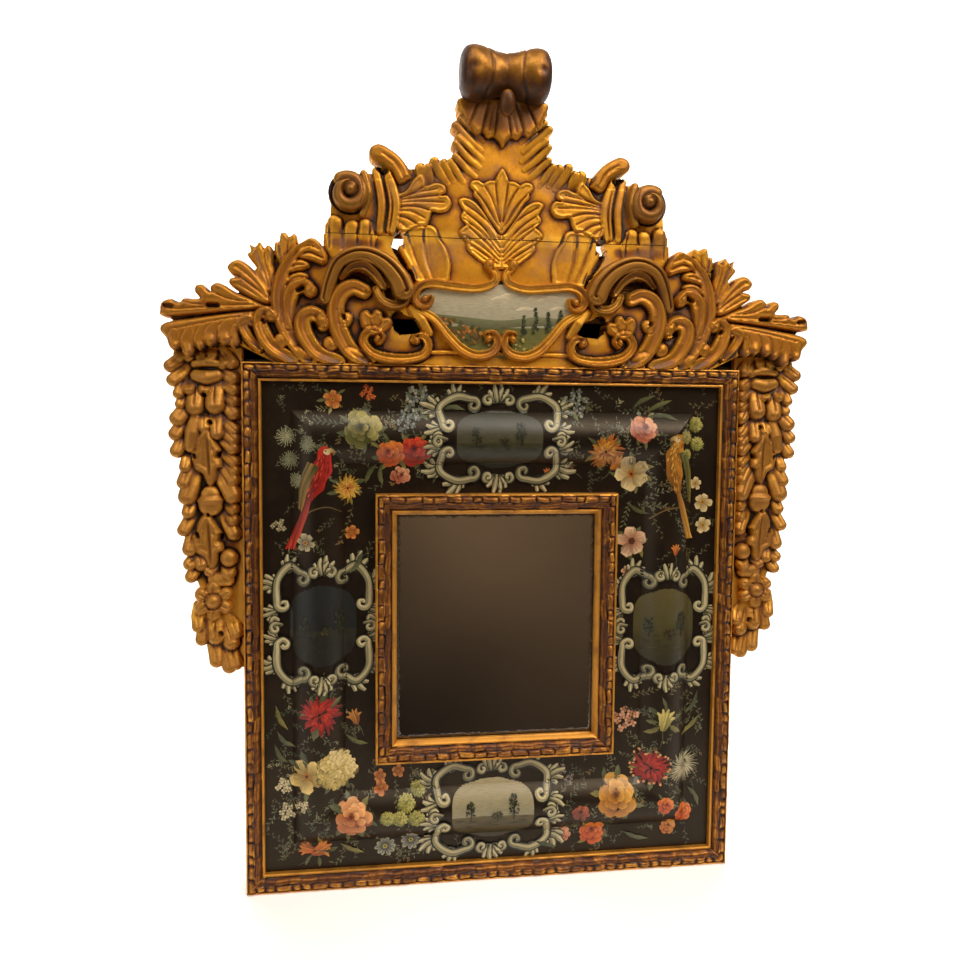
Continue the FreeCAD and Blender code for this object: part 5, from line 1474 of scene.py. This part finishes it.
# blooms, each with its own leaves first
roseRed = ("#8E1B12", "#C2361F", "#E07A50", "#3E0A08")
roseOrange = ("#A8421A", "#D2702A", "#EBA860", "#5A1A0A")
rosePink = ("#8E4436", "#CE9278", "#EBCDB0", "#54180E")
rosePeach = ("#9A542C", "#DAA070", "#F2D8AE", "#6A240E")
roseOchre = ("#96601C", "#D2A048", "#EBCF8A", "#5A300C")
creamy = ("#A08E62", "#D8CDA6", "#F0E8CA", "#6A5A3A")
olive = ("#4A4E28", "#96965A", "#C6C290", "#2E3016")
limey = ("#40481E", "#929850", "#C6C680", "#2E3418")
misty = ("#3A4048", "#828A8E", "#C2C6BC")
orangeFive = ("#8E4012", "#C87E34", "#E2B46A")
lily = ("#9E3E16", "#C86A28", "#E2A050")
bloomBook = [
    (foliage, (-250, 748, 14, 5)), (openFlower, (-250, 748, 14, ("#A8531C", "#D28A3C", "#E8B070"))),
    (cluster, (-198, 757, 11, ("#B0481E", "#C8722E"), 7, 4.4)), (foliage, (-120, 745, 20, 6)),
    (cluster, (-120, 745, 24, ("#55666E", "#7C8C90", "#A0AAA6"), 16, 6.0)),
    (cluster, (-142, 716, 16, ("#4E5E66", "#73848A"), 9, 5.2)), (foliage, (-205, 704, 24, 7)),
    (rose, (-205, 704, 27, olive)), (foliage, (-166, 668, 20, 6)), (rose, (-166, 668, 20, roseOrange)),
    (foliage, (-128, 672, 22, 5)), (rose, (-127, 671, 23, roseRed)), (rose, (-150, 634, 14, rosePink)),
    (foliage, (120, 745, 18, 6)), (cluster, (120, 745, 20, ("#5A6A70", "#8C989A"), 12, 5.6)),
    (foliage, (166, 670, 22, 6)), (carnation, (166, 671, 28, ("#A8661A", "#C88C28", "#DCAA44", "#8A3A14"))),
    (tulip, (184, 648, 22, ("#A85E1A", "#CF9434", "#E8C070"), 0.7)), (tulip, (115, 642, 16, lily, 2.4)),
    (tulip, (76, 634, 12, lily, 1.2)), (foliage, (212, 636, 24, 7)),
    (openFlower, (212, 636, 28, creamy[:3], 5, "#B0722A")), (foliage, (226, 706, 20, 6)),
    (rose, (226, 706, 22, rosePink)), (pompon, (315, 714, 13, limey)), (pompon, (318, 684, 12, limey)),
    (pompon, (297, 694, 11, olive)), (pompon, (298, 667, 10, limey)),
    (thistle, (-318, 692, 16, ("#6A7464", "#8C9682", "#A8AE98"))),
    (thistle, (-312, 658, 15, ("#5E6A5C", "#8A947E"))), (thistle, (-286, 680, 13, ("#6A7464", "#8C9682"))),
    (thistle, (-302, 628, 12, ("#6A7464", "#9CA48E"))), (foliage, (-228, 614, 18, 5)),
    (carnation, (-228, 615, 21, ("#A88A2C", "#CDB04E", "#D8B45A", "#B05A1E"))),
    (openFlower, (-290, 535, 14, ("#6A6A58", "#B4B29C", "#D6D2BC"), 6)),
    (openFlower, (-222, 548, 11, orangeFive)), (cluster, (-330, 560, 10, ("#8E8E78", "#B0B09A"), 6, 4.2)),
    (foliage, (-270, 275, 24, 7)),
    (carnation, (-270, 275, 32, ("#86160E", "#B0241A", "#C83A28", "#3A0806"))),
    (tulip, (-216, 258, 19, ("#7E4A1C", "#B07A3A", "#D2A868"), 1.9)), (foliage, (-290, 180, 24, 6)),
    (openFlower, (-290, 180, 27, ("#94803E", "#D8C684", "#EEE2B4"), 5, "#A8741E")),
    (foliage, (-246, 186, 22, 5)), (pompon, (-246, 187, 31, ("#6E6630", "#C8BC7C", "#E8E0B2"), 110)),
    (cluster, (-325, 160, 11, ("#B4B49E", "#D2D0BC"), 7, 5.0)),
    (cluster, (-320, 121, 12, ("#A4A690", "#CCCAB4"), 8, 5.0)),
    (cluster, (-296, 132, 9, ("#B0B09A", "#D0CEB8"), 5, 4.6)), (foliage, (-220, 111, 26, 7)),
    (rose, (-220, 111, 29, rosePeach)), (openFlower, (-180, 170, 10, orangeFive)),
    (openFlower, (-152, 176, 10, orangeFive)), (openFlower, (-178, 152, 11, orangeFive)),
    (pompon, (-140, 130, 14, limey)), (pompon, (-121, 149, 13, limey)), (pompon, (-150, 108, 13, limey)),
    (pompon, (-124, 107, 14, limey)), (pompon, (-169, 109, 12, limey)), (pompon, (-101, 166, 11, olive)),
    (foliage, (-276, 56, 20, 5)), (tulip, (-276, 54, 25, ("#9E4A14", "#C87C22", "#E0A848"), 0.5)),
    (tulip, (-284, 58, 20, ("#9E4A14", "#C07020", "#D89A40"), 2.8)),
    (openFlower, (-172, 57, 16, misty, 10, "#A8A048")), (openFlower, (-132, 65, 16, misty, 10, "#A8A048")),
    (openFlower, (318, 621, 10, creamy[:3])), (openFlower, (331, 591, 15, creamy[:3])),
    (openFlower, (332, 554, 13, creamy[:3])), (foliage, (215, 530, 20, 6)),
    (openFlower, (215, 530, 24, ("#A07058", "#DCC2AC", "#F0E2D2"), 5, "#5A2A1A")),
    (openFlower, (208, 481, 10, ("#A07058", "#D8B8A2", "#ECD8C6"))),
    (tulip, (281, 513, 14, ("#A04A18", "#CA7A2C", "#E2A858"), 1.5)),
    (cluster, (211, 243, 20, ("#B07A64", "#CFA08A", "#D8B8A4"), 10, 6.4)), (foliage, (270, 245, 22, 6)),
    (tulip, (268, 236, 28, ("#8A8A48", "#C2BE78", "#E4E0AC"), 1.3)), (foliage, (250, 165, 24, 6)),
    (carnation, (250, 166, 30, ("#7E150E", "#AA2418", "#C23A26", "#3A0806"), "#D8A478")),
    (thistle, (306, 165, 28, ("#B8BAA6", "#D2D2C0", "#94988A"), 72)), (foliage, (195, 121, 28, 7)),
    (rose, (195, 121, 31, roseOchre)), (rose, (135, 100, 14, ("#6A2A18", "#94482C", "#BE7A54", "#341008"))),
    (foliage, (160, 60, 18, 5)), (rose, (160, 61, 20, roseOrange)), (rose, (110, 60, 12, rosePink)),
    (foliage, (275, 104, 14, 5)), (rose, (275, 104, 15, roseOrange)), (rose, (309, 86, 15, roseOrange)),
    (rose, (285, 62, 13, ("#A05A1E", "#CC8C3C", "#E6BC78", "#5A2A0C"))),
    (cluster, (105, 166, 9, ("#6A6472", "#908A92"), 6, 3.4)),
    (cluster, (121, 150, 8, ("#6A6472", "#908A92"), 5, 3.2)),
]
for paint, recipe in bloomBook:
    brush["lift"] = 0.2 if paint is foliage else 0.4
    paint(*recipe)

# blade leaves and fronds that fill the corners
brush["lift"] = 0.3
blades = [[(-185, 652), (-196, 638), (-202, 622)], [(-178, 650), (-180, 634), (-176, 620)],
          [(-104, 652), (-96, 638), (-100, 622)], [(-86, 730), (-76, 748), (-60, 760)],
          [(-92, 735), (-70, 738), (-52, 734)], [(212, 738), (226, 750), (246, 758)],
          [(232, 732), (254, 744), (276, 752)], [(236, 726), (262, 728), (284, 720)],
          [(-336, 286), (-330, 264), (-318, 248)], [(-334, 246), (-324, 230), (-306, 222)],
          [(-338, 226), (-330, 206), (-318, 198)], [(-232, 238), (-216, 226), (-198, 222)],
          [(330, 286), (322, 262), (306, 250)], [(334, 246), (318, 228), (300, 216)],
          [(-206, 520), (-214, 500), (-226, 486)], [(206, 590), (224, 578), (240, 574)],
          [(-90, 60), (-76, 48), (-58, 44)], [(66, 50), (84, 44), (100, 40)],
          [(-240, 66), (-224, 56), (-204, 50)], [(210, 58), (230, 48), (252, 44)],
          [(316, 128), (330, 112), (336, 94)]]
for k, points in enumerate(blades):
    leaf(points, 4.6, leafHues[k % 5], 4)

# two birds at the upper corners
brush["lift"] = 0.5
vine([(-300, 566), (-282, 582), (-258, 588), (-236, 580)], "#6A5A38", 1.0)
bird([(-262, 669), (-263, 654), (-271, 630), (-284, 598)], [(-282, 606), (-296, 566), (-314, 524)], 25,
     ("#7E120C", "#B4261A", "#D2503A"), [(-278, 652), (-290, 624), (-298, 584)],
     ("#8A7A2C", "#3E4A24", "#B0842C"), 1)
brush["lift"] = 0.5
vine([(240, 566), (262, 580), (290, 584), (312, 574)], "#6A5A38", 1.0)
bird([(283, 690), (279, 674), (275, 650), (283, 606)], [(282, 612), (294, 576), (308, 534)], 25,
     ("#8A5A18", "#C08A2C", "#DDB45C"), [(291, 668), (301, 638), (306, 592)],
     ("#3E4E2C", "#5E6A3A", "#8A7A34"), -1)

# landscape on the small panel of the crest
brush["canvas"] = "picture"
brush["lift"] = 0.0
panel = {"foot": 816, "horizon": 858, "top": 919, "step": 3.0}
panelEdge = {"z": (815, 822, 840, 866, 884, 900, 912, 918), "half": (30, 52, 76, 100, 120, 122, 112, 70)}


def panelHalf(z):
    return np.interp(z, panelEdge["z"], panelEdge["half"])


for z in np.arange(panel["foot"], panel["top"], panel["step"]):
    half = panelHalf(z)
    meadow = mixed("#6E7438", "#525C30", (z - panel["foot"]) / 42)
    pair = (meadow, mixed(meadow, "#8A8E4A", 0.4))
    if z > panel["horizon"]:
        air = mixed("#A3AAA4", "#CFCFC2", (z - panel["horizon"]) / 60)
        pair = (air, mixed(air, "#B4B8B2", 0.4))
    wave = chance.uniform(-1.5, 1.5)
    strip = [(-half, z), (-half * 0.3, z + wave), (half * 0.4, z - wave), (half, z)]
    touch(strip, (2.6, 3.4, 2.6), pair, 0.0, 0.02)
    brush["lift"] -= 0.006
for k in range(9):
    x, z = chance.uniform(-60, 100), chance.uniform(884, 908)
    touch([(x - 14, z), (x, z + 3), (x + 16, z + 1)], (0.8, 3.0, 0.6), ("#E2E0D4", "#C4C6BE"), 0.2)
touch([(-122, 872), (-70, 868), (-10, 862), (60, 868), (122, 864)], (5, 6, 5), ("#6A7458", "#7C846A"), 0.3)
for k in range(120):
    x = chance.uniform(-118, -20)
    top = 884 - 0.35 * (x + 118)
    z = chance.uniform(834, top)
    if abs(x) < panelHalf(z):
        dab(x, z, chance.uniform(2.4, 4.6), ("#7A4A1C", "#A2682A", "#5E5A24", "#3E4A22", "#B07E38")[k % 5])
for x, foot, tall, wide in ((36, 846, 30, 4), (54, 850, 40, 4.5), (74, 852, 34, 5), (92, 858, 26, 6)):
    for k in range(26):
        h = chance.uniform(0, 1)
        off = chance.uniform(-1, 1) * wide * (1.1 - h)
        dab(x + off, foot + h * tall, chance.uniform(1.6, 3.0), "#22301C" if k % 3 else "#46552E")
for k in range(40):
    x, z = chance.uniform(-50, 70), chance.uniform(822, 842)
    if abs(x) < panelHalf(z) - 4:
        dab(x, z, chance.uniform(1.6, 3.2), ("#A2A45C", "#6E7A3A", "#C0B878", "#58662E")[k % 4], 0.1)

for side, store in touches.items():
    mesh = bpy.data.meshes.new("oil_paint_" + side)
    mesh.from_pydata(np.vstack(store["spots"]).tolist(), [], np.vstack(store["faces"]).tolist())
    hues = np.vstack(store["hues"])
    layer = mesh.color_attributes.new("oil", "FLOAT_COLOR", "POINT")
    layer.data.foreach_set("color", np.hstack([hues, np.ones((len(hues), 1))]).astype(np.float32).ravel())
    corners = np.empty(len(mesh.loops), dtype=np.int32)
    mesh.loops.foreach_get("vertex_index", corners)
    marks = np.vstack(store["brush"])[corners].astype(np.float32)
    mesh.uv_layers.new(name="brush").data.foreach_set("uv", marks.ravel())
    film = bpy.data.objects.new("oil_paint_" + side, mesh)
    bpy.context.collection.objects.link(film)
    finishPiece(film, [oilPaint], None)
    print(film.name, len(mesh.polygons), "faces")

# CAD pieces that stay
stayFinish = {"pine": pineAcross, "blackened_pine": blackPine, "brass": dullBrass, "iron": oldIron,
              "mirror_glass": oldMirror, "gilt_wood": scrollGold, "painted_panel": blackVarnish,
              "painted_wood": blackVarnish}
for subpart in frame["record"]["subparts"]:
    node = frame["nodes"][subpart["node"]]
    finish = stayFinish[subpart["material_slot"]]
    low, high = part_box(subpart["node"])
    if finish is pineAcross and high[2] - low[2] > high[0] - low[0]:
        finish = pineUpright
    node.data.materials.clear()
    node.data.materials.append(finish)

# stage, lamps and camera
stage = {
    "floor": {"corners": [(-4, -0.6, -0.001), (4, -0.6, -0.001), (4, 4, -0.001), (-4, 4, -0.001)],
              "pale": "#F4F3F1", "dark": "#E6E3DE", "cloud": 900, "glow": 0.45},
    "white_wall": {"corners": [(-6, 4, -0.1), (6, 4, -0.1), (6, 4, 5), (-6, 4, 5)],
                   "pale": "#F7F6F4", "dark": "#ECEAE6", "cloud": 900, "glow": 0.6},
    "backdrop": {"corners": [(4, -4.5, -2), (-4, -4.5, -2), (-4, -4.5, 3.5), (4, -4.5, 3.5)],
                 "pale": "#A5876A", "dark": "#2A1E16", "cloud": 4200, "glow": 0.0},
}
for name, sheet in stage.items():
    mesh = bpy.data.meshes.new(name)
    mesh.from_pydata(sheet["corners"], [], [range(4)])
    holder = bpy.data.objects.new(name, mesh)
    bpy.context.collection.objects.link(holder)
    finish, tree, shader, where = startFinish(name)
    cloud = lumps(tree, where, sheet["cloud"], 2, 0.5)
    shade = ramp(tree, cloud, [(0.36, sheet["dark"]), (0.64, sheet["pale"])])
    setInputs(tree, shader, {"Base Color": shade, "Roughness": 0.8, "Emission Color": shade,
                             "Emission Strength": sheet["glow"]})
    mesh.materials.append(finish)

room = {"tint": "#BDB9B3", "strength": 0.3}
world = bpy.data.worlds.new("room")
bpy.context.scene.world = world
world.use_nodes = True
air = world.node_tree.nodes["Background"]
air.inputs["Color"].default_value = colour(room["tint"])
air.inputs["Strength"].default_value = room["strength"]

lamps = {
    "key": {"place": (1.2, -1.7, 2.5), "aim": (0.0, -0.05, 0.75), "size": (1.4, 1.2),
        "watts": 47, "tint": "#FFF6E8"},
    "overhead": {"place": (-0.2, -1.1, 3.0), "aim": (0.0, -0.05, 0.7), "size": (2.4, 1.2),
        "watts": 34, "tint": "#FFF8EC"},
    "left_fill": {"place": (-2.4, -2.0, 1.2), "aim": (0.0, 0.0, 0.7), "size": (1.4, 1.8),
        "watts": 19, "tint": "#FFFAF2"},
    "wall_wash": {"place": (0.0, 1.6, 3.2), "aim": (0.0, 4.0, 0.8), "size": (4.0, 1.0),
        "watts": 170, "tint": "#FFFFFF"},
    "backdrop_wash": {"place": (0.6, -3.0, 2.8), "aim": (0.5, -4.5, 0.6), "size": (1.2, 0.6),
        "watts": 30, "tint": "#FFE8CC"},
}
for name, lamp in lamps.items():
    light = bpy.data.lights.new(name, "AREA")
    light.shape = "RECTANGLE"
    light.size, light.size_y = lamp["size"]
    light.energy = lamp["watts"]
    light.color = colour(lamp["tint"])[:3]
    holder = bpy.data.objects.new(name, light)
    bpy.context.collection.objects.link(holder)
    holder.location = lamp["place"]
    aim = np.array(lamp["aim"]) - np.array(lamp["place"])
    pitch = math.acos(-aim[2] / np.linalg.norm(aim))
    holder.rotation_euler = (pitch, 0, math.atan2(-aim[0], aim[1]))

view = {"place": (-0.2101, -1.3288, 0.7165), "turn": (86.057, -0.4775, -8.0368), "lens": 31.875, "sensor": 36}
camera = bpy.data.cameras.new("photo_view")
camera.lens = view["lens"]
camera.sensor_width = view["sensor"]
holder = bpy.data.objects.new("photo_view", camera)
bpy.context.collection.objects.link(holder)
holder.location = view["place"]
holder.rotation_euler = [math.radians(a) for a in view["turn"]]
bpy.context.scene.camera = holder
bpy.context.scene.view_settings.view_transform = "Standard"
